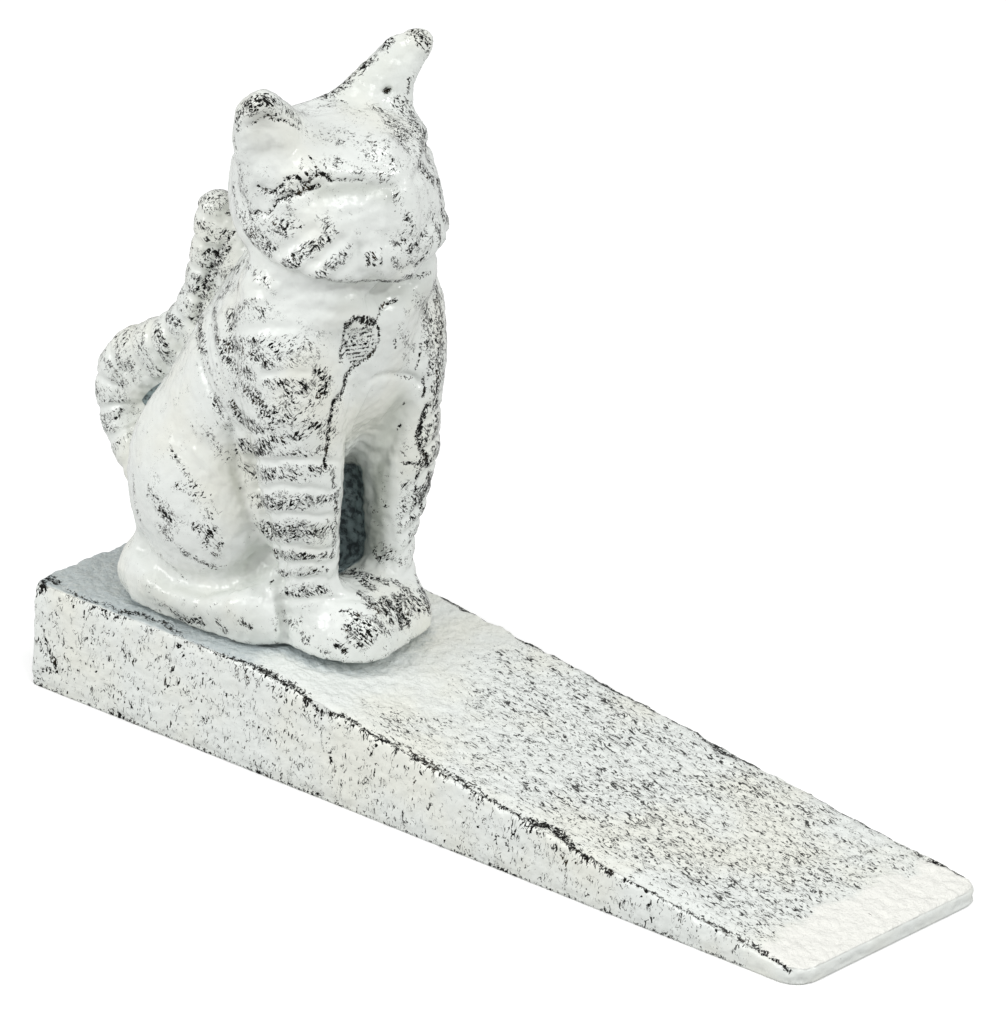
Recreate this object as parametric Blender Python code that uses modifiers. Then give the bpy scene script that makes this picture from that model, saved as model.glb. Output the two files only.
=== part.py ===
"""Cast iron doorstop: a sitting cat on a long wedge, held by two screws from below.

X runs along the wedge towards its thin end, which is the way the cat faces. Y is the cat's left
and Z is up. The origin is on the floor, under the middle of the whole doorstop.
"""

import math

import bmesh
import bpy
from mathutils import Matrix, Vector

MM = 0.001

# Wedge casting, in millimetres
WEDGE_LENGTH = 170.0
WEDGE_WIDTH = 45.0
REAR_HEIGHT = 18.9
TIP_HEIGHT = 2.9
LEVEL_LENGTH = 51.6
MOULD_TAPER = math.radians(2.6)
REAR_CORNER_ROUND = 1.6
TIP_CORNER_ROUND = 4.5
TOP_EDGE_ROUND = 0.9
CREST_ROUND = 6.0
RIM_EDGE_ROUND = 0.35

# The cored hollow under the wedge, with a rib across it below the crest and a boss at each screw
WALL = 4.0
ROOF = 4.5
CORE_TAPER = math.radians(4.0)
CORE_LEAST_HEIGHT = 4.0
CORE_CORNER_ROUND = 3.0
RIB_THICKNESS = 3.5
RIB_LIFT = 2.5
RIB_CLEARANCE = 2.0
BOSS_RADIUS = 7.5
BOSS_DROP = 2.0
BOSS_TAPER = 0.6

# Fixings: M5 pan head screws on split spring washers. The screws stand this far ahead of the
# middle of the cat's seat.
SCREW_OFFSETS = {"rear": -11.5, "front": 6.5}
SCREW_RADIUS = 2.5
SCREW_GRIP = 9.0
SCREW_CHAMFER = 0.6
HEAD_TO_SHANK = 1.9
HEAD_HEIGHT = 3.7
HEAD_RIM = 1.5
RECESS_WIDTH = 1.3
RECESS_SPAN = 5.2
RECESS_DEPTH = 2.2
WASHER_PLAY = 0.25
WASHER_INSET = 0.15
WASHER_THICKNESS = 1.2
WASHER_SPLIT = 0.8
HOLE_CLEARANCE = 0.3
THREAD_CLEARANCE = 0.25
HOLE_END_CLEARANCE = 1.5
SEAT_GAP = 0.3

# Cat casting. The masses below are drawn at DRAWN_HEIGHT and scaled to CAT_HEIGHT.
CAT_HEIGHT = 100.5
DRAWN_HEIGHT = 100.5
CAT_SETBACK = 33.0
SKIN_VOXEL = 0.9
SKIN_SMOOTHING = 4
SKIN_TRIANGLES_SHARE = 0.15

ROUND_SEGMENTS = 32
MASS_SEGMENTS = 24
SHARP_ANGLE = math.radians(35)
MERGE_DISTANCE = 0.00001
CUT_MARGIN = 1.0
NEAR = 0.01
DOME_STEPS = 6

# Cat masses, in millimetres from the middle of the cat's seat: forward, left, up, then the radii.
# A chain is a run of masses, each joined to the next by the hull of the two. Paired chains are
# drawn on the cat's left.
TORSO = [
    (-4.5, 0, 10, 16.5, 18.5, 15),
    (-4.0, 0, 27, 15.5, 18, 14),
    (9.0, 0, 44, 19.0, 17, 13),
    (15.0, 0, 57, 16, 15.5, 11),
]
THIGH = [(-2.5, 9.0, 21, 16.5, 10.8, 19.5)]
HIND_FOOT = [(-8.0, 11.5, 4, 12, 7.6, 8), (10.0, 11.0, 3, 8, 7.6, 7.5)]
SHOULDER = [(12.0, 8.5, 47, 12.5, 9.8, 15)]
FORELEG = [
    (16.5, 10.0, 60, 8.5),
    (18.3, 11.0, 52, 9.4),
    (19.0, 11.3, 44, 9.0),
    (19.5, 11.3, 36, 7.6),
    (20.0, 11.2, 28, 6.9),
    (20.3, 10.3, 20, 5.3),
    (20.4, 9.0, 13, 4.1),
    (20.6, 8.4, 6, 4.4),
]
LEFT_FORELEG_INNER_SIDE = [
    (21.0, 8.2, 38, 4.6, 4.0, 6.0),
    (21.2, 7.9, 22, 4.2, 3.6, 6.0),
    (21.4, 7.5, 7, 4.2, 3.3, 5.0),
]
FRONT_PAWS = [(21.0, 5.6, 1.5, 10.3, 7.0, 8.0), (22.6, -6.0, 1.5, 11.3, 7.6, 8.3)]
CHEST = [(20.0, 0, 53, 9, 9, 8), (20.0, 0, 61, 10, 11, 7)]
RUFF = [(20.5, 6.0, 60.5, 10.0, 10.5, 8.0)]
HEAD = [(17.2, 0, 73.0, 16.8, 17.5, 11.2), (16.7, 0, 78.5, 16.3, 17.0, 10.6)]
TEMPLE = [(20.5, 9.2, 79.2, 7.2, 7.8, 7.4)]
CHEEK = [(20.0, 7.5, 69.0, 11.7, 9.7, 7.4)]
MUZZLE = [(28.0, 0, 70.0, 6.8, 8.2, 6.2)]
WHISKER_PAD = [(30.3, 4.2, 69.0, 4.4, 4.6, 4.0)]
NOSE_BRIDGE = [(27.5, 0, 84.0, 3.6), (31.2, 0, 78.6, 3.0), (32.8, 0, 73.6, 2.5)]
CHIN = [(29.6, 0, 65.6, 4.0, 5.0, 3.0)]
EAR = [
    (13.0, 4.5, 84.3, 3.7),
    (13.5, 15.0, 87.5, 3.4),
    (15.5, 13.5, 80.0, 4.5),
]
LEFT_EAR_TIP = [(16.0, 16.3, 93.5, 3.2), (19.8, 17.3, 96.6, 2.3)]
RIGHT_EAR_TIP = [(15.5, 16.5, 92.5, 3.2), (18.5, 17.5, 95.2, 2.6)]
EAR_HOLLOW = [(23.0, 22.5, 87.8, 8.0, 8.0, 8.4)]
EYE_SOCKET = [
    (25.2, 16.6, 80.4, 2.5),
    (29.4, 13.2, 80.4, 3.1),
    (33.2, 7.6, 80.4, 2.9),
]
TAIL = [
    (-18.0, 0, 12.0, 6.0),
    (-25.5, 0, 15.5, 5.0),
    (-30.4, 0, 20.5, 4.4),
    (-32.8, 0, 25.5, 4.2),
    (-32.4, 0, 30.5, 4.2),
    (-29.2, 0, 34.5, 4.3),
    (-24.5, 0, 37.2, 4.2),
    (-19.3, 0, 39.9, 4.4),
    (-14.8, 0, 44.3, 4.2),
    (-12.0, 0, 50.0, 4.0),
    (-10.8, 0, 55.5, 3.9),
    (-10.0, 0, 60.0, 3.9),
    (-9.2, 0, 64.6, 3.8),
]
TAIL_WEB = [(-5.0, 0, 44, 4.0, 3.4, 4.0), (-5.0, 0, 62, 4.0, 2.8, 3.0)]
TAIL_BEND = [(-30.0, 0, 26.5, 3.0), (-26.0, 0, 32.2, 3.4), (-20.0, 0, 36.5, 3.3)]

# The sheet of iron that closes the loop of the tail, in the plane where the mould parts
TAIL_SHEET = [
    (-26.5, 0, 25.0, 2.0, 1.1, 2.0),
    (-18.5, 0, 34.5, 2.0, 1.1, 2.0),
    (-12.0, 0, 36.0, 2.0, 1.1, 2.0),
    (-16.0, 0, 18.0, 2.0, 1.1, 2.0),
]

# Thin walls from the thighs to the forelegs, which close the sides of the pocket below the belly
FLANK_WEB = [
    (6.0, 9.4, 34, 9.0, 3.4, 12.0),
    (13.2, 9.4, 24, 8.5, 3.1, 14.0),
    (13.6, 9.2, 8, 8.0, 3.1, 9.0),
]

HEAD_RADIUS = HEAD_TO_SHANK * SCREW_RADIUS
WASHER_INNER_RADIUS = SCREW_RADIUS + WASHER_PLAY
WASHER_OUTER_RADIUS = HEAD_RADIUS - WASHER_INSET
CAT_SCALE = CAT_HEIGHT / DRAWN_HEIGHT
TAIL_REACH = max(mass[3] - mass[0] for mass in TAIL) * CAT_SCALE
TAIL_OVERHANG = max(TAIL_REACH - CAT_SETBACK, 0)
WEDGE_REAR = (TAIL_OVERHANG - WEDGE_LENGTH) / 2
WEDGE_TIP = WEDGE_REAR + WEDGE_LENGTH
CREST = WEDGE_REAR + LEVEL_LENGTH
CAT_X = WEDGE_REAR + CAT_SETBACK
CAT_SEAT = REAR_HEIGHT + SEAT_GAP
BOSS_FACE = REAR_HEIGHT - ROOF - BOSS_DROP
WASHER_TOP = BOSS_FACE - SEAT_GAP
HEAD_SEAT = WASHER_TOP - WASHER_THICKNESS - SEAT_GAP


def clear_scene():
    for obj in list(bpy.data.objects):
        bpy.data.objects.remove(obj, do_unlink=True)


def collection_named(name):
    collection = bpy.data.collections.new(name)
    bpy.context.scene.collection.children.link(collection)
    return collection


def finish(obj, colour, roughness, metallic):
    """Gives the object a Principled material of its own."""
    made = bpy.data.materials.new(obj.name + "_finish")
    made.use_nodes = True
    shader = made.node_tree.nodes["Principled BSDF"]
    shader.inputs["Base Color"].default_value = (*colour, 1)
    shader.inputs["Roughness"].default_value = roughness
    shader.inputs["Metallic"].default_value = metallic
    made.diffuse_color = (*colour, 1)
    obj.data.materials.append(made)


def object_of(bm, name, collection):
    mesh = bpy.data.meshes.new(name)
    bm.to_mesh(mesh)
    bm.free()
    mesh.shade_smooth()
    mesh.set_sharp_from_angle(angle=SHARP_ANGLE)
    obj = bpy.data.objects.new(name, mesh)
    collection.objects.link(obj)
    return obj


def cutter_of(bm, name, collection):
    obj = object_of(bm, name + "_cutter", collection)
    obj.hide_render = True
    obj.display_type = "WIRE"
    return obj


def cut(obj, cutter):
    modifier = obj.modifiers.new(cutter.name, "BOOLEAN")
    modifier.operation = "DIFFERENCE"
    modifier.object = cutter


def cylinder(bm, x, radius, bottom, top, top_radius=None):
    """Adds an upright cylinder, or a cone where top_radius differs, on the doorstop's centre line."""
    place = Matrix.Translation(Vector((x, 0, (bottom + top) / 2)) * MM)
    bmesh.ops.create_cone(
        bm,
        cap_ends=True,
        segments=ROUND_SEGMENTS,
        radius1=radius * MM,
        radius2=(radius if top_radius is None else top_radius) * MM,
        depth=(top - bottom) * MM,
        matrix=place,
    )


def box(bm, low, high):
    low, high = Vector(low), Vector(high)
    place = Matrix.Translation((low + high) / 2 * MM) @ Matrix.Diagonal((*(high - low) * MM, 1))
    bmesh.ops.create_cube(bm, size=1, matrix=place)


def screw_x(name):
    return CAT_X + SCREW_OFFSETS[name] * CAT_SCALE


# Wedge


def top_at(x):
    """Height of the wedge's top at x: level at the rear, then one straight slope to the tip."""
    if x <= CREST:
        return REAR_HEIGHT
    return REAR_HEIGHT - (REAR_HEIGHT - TIP_HEIGHT) * (x - CREST) / (WEDGE_TIP - CREST)


def roof_at(x):
    return top_at(x) - ROOF


def rib_x():
    """Below the crest, or ahead of the front screw where the crest is too near it."""
    ahead = screw_x("front") + HEAD_RADIUS + RIB_CLEARANCE + RIB_THICKNESS / 2
    return max(CREST, ahead)


def core_front():
    """Where the hollow ends: the point at which it would be lower than CORE_LEAST_HEIGHT."""
    slope = (REAR_HEIGHT - TIP_HEIGHT) / (WEDGE_TIP - CREST)
    return CREST + (REAR_HEIGHT - ROOF - CORE_LEAST_HEIGHT) / slope


def wedge_block(rear, front, half_width, taper, height_at, foot):
    """A block from rear to front whose top follows height_at, with sides that lean in by taper."""
    bm = bmesh.new()
    bmesh.ops.create_cube(bm, size=1)
    for vert in bm.verts:
        vert.co.x = (front if vert.co.x > 0 else rear) * MM
    bmesh.ops.bisect_plane(
        bm,
        geom=bm.verts[:] + bm.edges[:] + bm.faces[:],
        plane_co=(CREST * MM, 0, 0),
        plane_no=(1, 0, 0),
    )
    for vert in bm.verts:
        x = vert.co.x / MM
        z = height_at(x) if vert.co.z > 0 else foot
        inset = max(z, 0) * math.tan(taper)
        vert.co.y = math.copysign(half_width - inset, vert.co.y) * MM
        vert.co.z = z * MM
        if abs(x - rear) < NEAR:
            vert.co.x += inset * MM
    return bm


def round_edges(bm, test, radius, segments):
    """Bevels the edges whose two ends, in millimetres, pass the test."""
    bmesh.ops.bevel(
        bm,
        geom=[edge for edge in bm.edges if test(*(vert.co / MM for vert in edge.verts))],
        offset=radius * MM,
        offset_type="OFFSET",
        affect="EDGES",
        segments=segments,
        profile=0.5,
        clamp_overlap=True,
    )


def is_corner(end):
    """A test for the upright edges at one end of the wedge or of its core."""

    def test(a, b):
        upright = abs(a.x - b.x) < abs(a.z - b.z) and abs(a.y - b.y) < abs(a.z - b.z)
        return upright and min(abs(a.x - end), abs(b.x - end)) < NEAR

    return test


def is_crest(a, b):
    return max(abs(a.x - CREST), abs(b.x - CREST)) < NEAR and min(a.z, b.z) > REAR_HEIGHT - NEAR


def is_top_rim(a, b):
    near_crest = abs(a.x - CREST) < 2 * CREST_ROUND
    across = abs(a.x - b.x) < NEAR
    return min(a.z, b.z) > TIP_HEIGHT - NEAR and not (near_crest and across)


def is_foot_rim(a, b):
    return max(a.z, b.z) < NEAR


def build_core(cutters):
    """The wedge's hollow as a cutter, less the bosses and the rib that stay in it."""
    half_width = WEDGE_WIDTH / 2 - WALL
    rear = WEDGE_REAR + WALL
    bm = wedge_block(rear, core_front(), half_width, CORE_TAPER, roof_at, -CUT_MARGIN)
    round_edges(bm, is_corner(rear), CORE_CORNER_ROUND, 3)
    core = cutter_of(bm, "core", cutters)

    bosses = bmesh.new()
    for name in SCREW_OFFSETS:
        wide = BOSS_RADIUS + BOSS_TAPER
        cylinder(bosses, screw_x(name), BOSS_RADIUS, BOSS_FACE, REAR_HEIGHT, wide)
    cut(core, cutter_of(bosses, "boss", cutters))

    rib = bmesh.new()
    half_rib = RIB_THICKNESS / 2
    reach = WEDGE_WIDTH / 2
    rib_low = (rib_x() - half_rib, -reach, RIB_LIFT)
    box(rib, rib_low, (rib_x() + half_rib, reach, REAR_HEIGHT))
    cut(core, cutter_of(rib, "rib", cutters))
    return core


def build_wedge(parts, cutters):
    bm = wedge_block(WEDGE_REAR, WEDGE_TIP, WEDGE_WIDTH / 2, MOULD_TAPER, top_at, 0)
    round_edges(bm, is_corner(WEDGE_TIP), TIP_CORNER_ROUND, 6)
    round_edges(bm, is_corner(WEDGE_REAR), REAR_CORNER_ROUND, 4)
    round_edges(bm, is_crest, CREST_ROUND, 3)
    round_edges(bm, is_top_rim, TOP_EDGE_ROUND, 3)
    round_edges(bm, is_foot_rim, RIM_EDGE_ROUND, 1)
    wedge = object_of(bm, "wedge", parts)
    cut(wedge, build_core(cutters))

    holes = bmesh.new()
    for name in SCREW_OFFSETS:
        radius = SCREW_RADIUS + HOLE_CLEARANCE
        cylinder(holes, screw_x(name), radius, -CUT_MARGIN, REAR_HEIGHT + CUT_MARGIN)
    cut(wedge, cutter_of(holes, "screw_hole", cutters))
    return wedge


# Cat


def hull_of(masses):
    """A closed bmesh: the convex hull of balls, each given by its centre and one or three radii."""
    bm = bmesh.new()
    for mass in masses:
        radii = mass[3:] if len(mass) == 6 else mass[3:] * 3
        place = Matrix.Translation(Vector(mass[:3])) @ Matrix.Diagonal((*radii, 1))
        bmesh.ops.create_uvsphere(
            bm, u_segments=MASS_SEGMENTS, v_segments=MASS_SEGMENTS // 2, radius=1, matrix=place
        )
    if len(masses) > 1:
        made = bmesh.ops.convex_hull(bm, input=bm.verts)
        inside = [item for item in made["geom_interior"] if isinstance(item, bmesh.types.BMVert)]
        bmesh.ops.delete(bm, geom=inside, context="VERTS")
    return bm


def add_to(target, bm, mirrored=False):
    """Joins bm to the target bmesh, on the cat's right side where mirrored."""
    if mirrored:
        bmesh.ops.scale(bm, vec=(1, -1, 1), verts=bm.verts)
        bmesh.ops.reverse_faces(bm, faces=bm.faces)
    scratch = bpy.data.meshes.new("scratch")
    bm.to_mesh(scratch)
    bm.free()
    target.from_mesh(scratch)
    bpy.data.meshes.remove(scratch)


def add_chain(target, masses, mirrored=False):
    if len(masses) == 1:
        add_to(target, hull_of(masses), mirrored)
    for pair in zip(masses, masses[1:]):
        add_to(target, hull_of(pair), mirrored)


def place_figure(bm):
    """Scales the drawn figure to its height and puts it on its seat."""
    place = Matrix.Translation(Vector((CAT_X, 0, CAT_SEAT)) * MM) @ Matrix.Scale(CAT_SCALE * MM, 4)
    bm.transform(place)


SINGLE_CHAINS = (
    TORSO,
    CHEST,
    HEAD,
    MUZZLE,
    NOSE_BRIDGE,
    CHIN,
    FRONT_PAWS,
    LEFT_FORELEG_INNER_SIDE,
    TAIL,
    TAIL_WEB,
    TAIL_BEND,
)
PAIRED_CHAINS = (
    THIGH,
    HIND_FOOT,
    FLANK_WEB,
    SHOULDER,
    FORELEG,
    RUFF,
    TEMPLE,
    CHEEK,
    WHISKER_PAD,
)


def draw_figure():
    bm = bmesh.new()
    for chain in SINGLE_CHAINS:
        add_chain(bm, chain)
    add_to(bm, hull_of(TAIL_SHEET))
    for mirrored, tip in ((False, LEFT_EAR_TIP), (True, RIGHT_EAR_TIP)):
        for chain in PAIRED_CHAINS:
            add_chain(bm, chain, mirrored)
        add_to(bm, hull_of(EAR + tip), mirrored)
    return bm


def draw_hollows(masses):
    bm = bmesh.new()
    for mirrored in (False, True):
        add_chain(bm, masses, mirrored)
    return bm


def add_remesh(obj, name):
    remesh = obj.modifiers.new(name, "REMESH")
    remesh.mode = "VOXEL"
    remesh.voxel_size = SKIN_VOXEL * CAT_SCALE * MM
    remesh.use_smooth_shade = True


def build_cat(parts, cutters):
    figure = draw_figure()
    place_figure(figure)
    cat = object_of(figure, "cat", parts)
    add_remesh(cat, "skin")
    for name, masses in (("ear", EAR_HOLLOW), ("eye", EYE_SOCKET)):
        hollows = draw_hollows(masses)
        place_figure(hollows)
        solid = cutter_of(hollows, name, cutters)
        add_remesh(solid, "one_skin")
        cut(cat, solid)
    add_remesh(cat, "even_skin")
    smooth = cat.modifiers.new("soften", "SMOOTH")
    smooth.factor = 0.5
    smooth.iterations = SKIN_SMOOTHING
    lighten = cat.modifiers.new("lighten", "DECIMATE")
    lighten.ratio = SKIN_TRIANGLES_SHARE

    below = bmesh.new()
    reach = CAT_HEIGHT
    box(below, (CAT_X - reach, -reach, CAT_SEAT - reach), (CAT_X + reach, reach, CAT_SEAT))
    cut(cat, cutter_of(below, "seat", cutters))

    holes = bmesh.new()
    for name in SCREW_OFFSETS:
        radius = SCREW_RADIUS + THREAD_CLEARANCE
        top = CAT_SEAT + SCREW_GRIP + HOLE_END_CLEARANCE
        cylinder(holes, screw_x(name), radius, CAT_SEAT - CUT_MARGIN, top)
    cut(cat, cutter_of(holes, "thread", cutters))
    return cat


# Screws and washers


def screw_profile():
    """Half the outline of a screw with its head down, from the top of its axis to the bottom."""
    tip = CAT_SEAT + SCREW_GRIP
    foot = HEAD_SEAT - HEAD_HEIGHT
    rim = HEAD_SEAT - HEAD_RIM
    points = [
        (0, tip),
        (SCREW_RADIUS - SCREW_CHAMFER, tip),
        (SCREW_RADIUS, tip - SCREW_CHAMFER),
        (SCREW_RADIUS, HEAD_SEAT),
        (HEAD_RADIUS, HEAD_SEAT),
    ]
    dome = HEAD_HEIGHT - HEAD_RIM
    flat = HEAD_RADIUS - dome
    for step in range(DOME_STEPS + 1):
        angle = math.pi / 2 * step / DOME_STEPS
        points.append((flat + dome * math.cos(angle), rim - dome * math.sin(angle)))
    points.append((0, foot))
    return points


def build_screw(name, parts, cutters):
    bm = bmesh.new()
    verts = [bm.verts.new(Vector((x, 0, z)) * MM) for x, z in screw_profile()]
    for pair in zip(verts, verts[1:]):
        bm.edges.new(pair)
    screw = object_of(bm, "screw_" + name, parts)
    turn = screw.modifiers.new("turn", "SCREW")
    turn.steps = ROUND_SEGMENTS
    turn.render_steps = ROUND_SEGMENTS
    turn.use_merge_vertices = True
    turn.merge_threshold = MERGE_DISTANCE
    screw.location.x = screw_x(name) * MM

    foot = HEAD_SEAT - HEAD_HEIGHT
    spans = {"long": (RECESS_SPAN / 2, RECESS_WIDTH / 2), "cross": (RECESS_WIDTH / 2, RECESS_SPAN / 2)}
    for way, (length, width) in spans.items():
        slot = bmesh.new()
        box(slot, (-length, -width, foot - CUT_MARGIN), (length, width, foot + RECESS_DEPTH))
        recess = cutter_of(slot, f"{way}_recess_{name}", cutters)
        recess.location = screw.location
        cut(screw, recess)
    return screw


def build_washer(name, parts, cutters):
    x = screw_x(name)
    bottom = WASHER_TOP - WASHER_THICKNESS
    bm = bmesh.new()
    cylinder(bm, x, WASHER_OUTER_RADIUS, bottom, WASHER_TOP)
    washer = object_of(bm, "washer_" + name, parts)

    bore = bmesh.new()
    cylinder(bore, x, WASHER_INNER_RADIUS, bottom - CUT_MARGIN, WASHER_TOP + CUT_MARGIN)
    cut(washer, cutter_of(bore, "bore_" + name, cutters))

    split = bmesh.new()
    half = WASHER_SPLIT / 2
    low = (x, -half, bottom - CUT_MARGIN)
    high = (x + WASHER_OUTER_RADIUS + CUT_MARGIN, half, WASHER_TOP + CUT_MARGIN)
    box(split, low, high)
    cut(washer, cutter_of(split, "split_" + name, cutters))
    return washer


def main():
    clear_scene()
    parts = collection_named("cast_iron_doorstop")
    cutters = collection_named("cutters")
    finish(build_wedge(parts, cutters), (0.80, 0.82, 0.80), 0.45, 0.0)
    finish(build_cat(parts, cutters), (0.82, 0.84, 0.82), 0.40, 0.0)
    for name in SCREW_OFFSETS:
        finish(build_screw(name, parts, cutters), (0.55, 0.56, 0.58), 0.35, 1.0)
        finish(build_washer(name, parts, cutters), (0.45, 0.46, 0.48), 0.45, 1.0)


main()
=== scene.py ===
"""Looks for the cast iron doorstop: a sitting cat on a wedge, in white paint worn to dark iron.

Each casting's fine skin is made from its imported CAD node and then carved. Strokes laid over the
photograph give the folds, fur and stripes, formulas give the grooves and rings that repeat, and
noise gives the sand-cast surface. Carving also marks where the paint is worn, and the materials
read those marks. Lengths are in millimetres, apart from those that a comment gives in metres.
"""

import math
from collections import namedtuple

import bmesh
import bpy
import numpy as np
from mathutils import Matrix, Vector, noise
from mathutils.bvhtree import BVHTree

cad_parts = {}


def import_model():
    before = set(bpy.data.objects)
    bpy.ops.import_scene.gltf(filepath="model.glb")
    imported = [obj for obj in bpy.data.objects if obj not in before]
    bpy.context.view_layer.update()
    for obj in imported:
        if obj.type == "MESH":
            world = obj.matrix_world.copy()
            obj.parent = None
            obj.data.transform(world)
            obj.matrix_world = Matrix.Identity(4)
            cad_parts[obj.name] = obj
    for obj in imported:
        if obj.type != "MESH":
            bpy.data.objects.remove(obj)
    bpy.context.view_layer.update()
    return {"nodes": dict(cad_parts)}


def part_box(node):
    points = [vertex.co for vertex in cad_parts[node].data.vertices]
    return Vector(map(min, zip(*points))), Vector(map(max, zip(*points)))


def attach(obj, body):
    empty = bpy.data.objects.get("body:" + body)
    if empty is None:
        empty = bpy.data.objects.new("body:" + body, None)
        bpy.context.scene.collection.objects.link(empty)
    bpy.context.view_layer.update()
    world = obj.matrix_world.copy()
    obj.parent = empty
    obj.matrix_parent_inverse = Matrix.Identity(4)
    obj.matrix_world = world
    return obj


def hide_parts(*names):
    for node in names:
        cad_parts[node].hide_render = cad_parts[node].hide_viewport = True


MM = 0.001

# The photograph's camera. Places in the photograph are given in its pixels.
PHOTO_WIDTH = 1007
PHOTO_HEIGHT = 1024
CAMERA_AZIMUTH = math.radians(42.872)
CAMERA_ELEVATION = math.radians(23.261)
CAMERA_DISTANCE = 1470.31
CAMERA_TARGET = (2.303, 1.791, 48.149)
CAMERA_RANGE = 20000.0
LENS = 323.8
SENSOR = 36.0

# How a casting's skin is made from its solid
CAT_VOXEL = 0.4
WEDGE_VOXEL = 0.45
MERGE_DISTANCE = 0.001
SMOOTHING_PASSES = 6
SMOOTHING_SHARE = 0.5
REGROWTH_BLURS = (25, 12)

# The cat's seat, from which the limbs' lines are measured
CAT_X = -50.0
CAT_SEAT = 19.2

# A line drawn over the photograph. Its half width and its lift of the skin are in millimetres.
# Wear is how far the paint is worn along it, or kept where it is below 0, and line is how dark a
# line it draws, which is all but unbroken from 1 up.
Stroke = namedtuple("Stroke", "pixels width lift wear line")

# The pixels between a curve's points, how many half widths a stroke reaches, and the cosine to
# its own facing at which the skin starts to take less of it
CURVE_STEP = 2
STROKE_REACH = 2.5
FULL_FACING = 0.5

# Uneven noise over a skin: its coarsest spacing, its depth, its seed, and how much finer it is
# along each axis
Grain = namedtuple("Grain", "size depth seed fineness", defaults=((1, 1, 1),))

# Its layers: how fast they fade, how much finer each is than the last, and how many there are
GRAIN_FADE = 0.9
GRAIN_RATIO = 2.1
GRAIN_LAYERS = 3

# The rays that tell how sheltered a point is: how far above the skin they start and how many
# there are. One point in SHELTER_SAMPLE sends them, and its result is spread to the others.
SHELTER_START = 0.3
SHELTER_RAYS = 24
SHELTER_SAMPLE = 6
SHELTER_SPREAD = 8
LEAST_SPREAD = 1e-6
GOLDEN_ANGLE = math.pi * (3 - math.sqrt(5))


def camera_axes():
    """The camera's right, up and back, as unit vectors."""
    level = Vector((math.sin(CAMERA_AZIMUTH), -math.cos(CAMERA_AZIMUTH), 0))
    back = level * math.cos(CAMERA_ELEVATION) + Vector((0, 0, math.sin(CAMERA_ELEVATION)))
    right = Vector((-level.y, level.x, 0))
    return right, back.cross(right), back


def camera_place():
    return Vector(CAMERA_TARGET) + camera_axes()[2] * CAMERA_DISTANCE


def pixel_ray(x, y):
    """The direction in which the camera sees a pixel of the photograph."""
    right, up, back = camera_axes()
    focal = LENS / SENSOR * PHOTO_HEIGHT
    across = (x - PHOTO_WIDTH / 2) / focal
    down = (y - PHOTO_HEIGHT / 2) / focal
    return (right * across - up * down - back).normalized()


def new_object(name, data):
    made = bpy.data.objects.new(name, data)
    bpy.context.scene.collection.objects.link(made)
    return made


def aim(piece, place, back):
    """Puts a camera or lamp at a place in metres, with its back to the given direction."""
    piece.location = place
    piece.rotation_euler = back.to_track_quat("Z", "Y").to_euler()


def add_camera():
    data = bpy.data.cameras.new("camera")
    data.lens = LENS
    data.sensor_width = SENSOR
    data.clip_end = CAMERA_RANGE * MM
    bpy.context.scene.camera = new_object("camera", data)
    aim(bpy.context.scene.camera, camera_place() * MM, camera_axes()[2])


def pixels(path):
    """The points of a path, which is written as x,y pairs with spaces between them."""
    return [tuple(float(value) for value in pair.split(",")) for pair in path.split()]


def raised(path, width, height, wear=0.0, line=0.0):
    """A stroke that lifts the skin."""
    return Stroke(pixels(path), width, height, wear, line)


def cut(path, width, depth, wear=0.0, line=0.0):
    """A stroke that cuts into the skin."""
    return Stroke(pixels(path), width, -depth, wear, line)


def worn(path, width, wear, line=0.0):
    """A stroke that leaves the skin and marks the paint."""
    return Stroke(pixels(path), width, 0.0, wear, line)


def curve_through(points):
    """Close points on a smooth curve through the given ones, where its slope at each of them is
    the slope from the one before to the one after."""
    points = [np.array(p, float) for p in points]
    if len(points) == 1:
        return points
    ends = [2 * points[0] - points[1]] + points + [2 * points[-1] - points[-2]]
    run = []
    for a, b, c, d in zip(ends, ends[1:], ends[2:], ends[3:]):
        steps = max(int(np.linalg.norm(c - b) / CURVE_STEP), 1)
        for step in range(steps):
            t = step / steps
            slope = (c - a) * t
            bend = (2 * a - 5 * b + 4 * c - d) * t**2
            twist = (3 * b - a - 3 * c + d) * t**3
            run.append((2 * b + slope + bend + twist) / 2)
    return run + [points[-1]]


def local(points):
    """Points as seen from the middle of the cat's seat."""
    return points - np.array([CAT_X, 0, CAT_SEAT])


def smooth_step(limits, values):
    """0 up to the first limit and 1 from the second on, whichever of them is higher."""
    first, last = limits
    t = np.clip((values - first) / (last - first), 0, 1)
    return t * t * (3 - 2 * t)


def bell(values, width):
    return np.exp(-((values / width) ** 2))


def directions_up(count):
    """Directions spread evenly over the upper half of a sphere."""
    ways = []
    for i in range(count):
        height = 1 - (i + 0.5) / count
        flat = math.sqrt(1 - height**2)
        turn = i * GOLDEN_ANGLE
        ways.append(Vector((flat * math.cos(turn), flat * math.sin(turn), height)))
    return ways


def vectors(items, name):
    """The named vector of each of a mesh's items, as rows of one array."""
    values = np.zeros(len(items) * 3, np.float32)
    items.foreach_get(name, values)
    return values.reshape(-1, 3).astype(float)


def search_tree(mesh):
    """A mesh's surface in millimetres, for rays and nearest points."""
    points = vectors(mesh.vertices, "co") / MM
    polygons = [tuple(p.vertices) for p in mesh.polygons]
    return BVHTree.FromPolygons([Vector(p) for p in points], polygons)


def welded(mesh, name):
    """A copy of a mesh, in which faces that meet share their corners."""
    bm = bmesh.new()
    bm.from_mesh(mesh)
    bmesh.ops.remove_doubles(bm, verts=bm.verts, dist=MERGE_DISTANCE * MM)
    copy = bpy.data.meshes.new(name)
    bm.to_mesh(copy)
    bm.free()
    return copy


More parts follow.
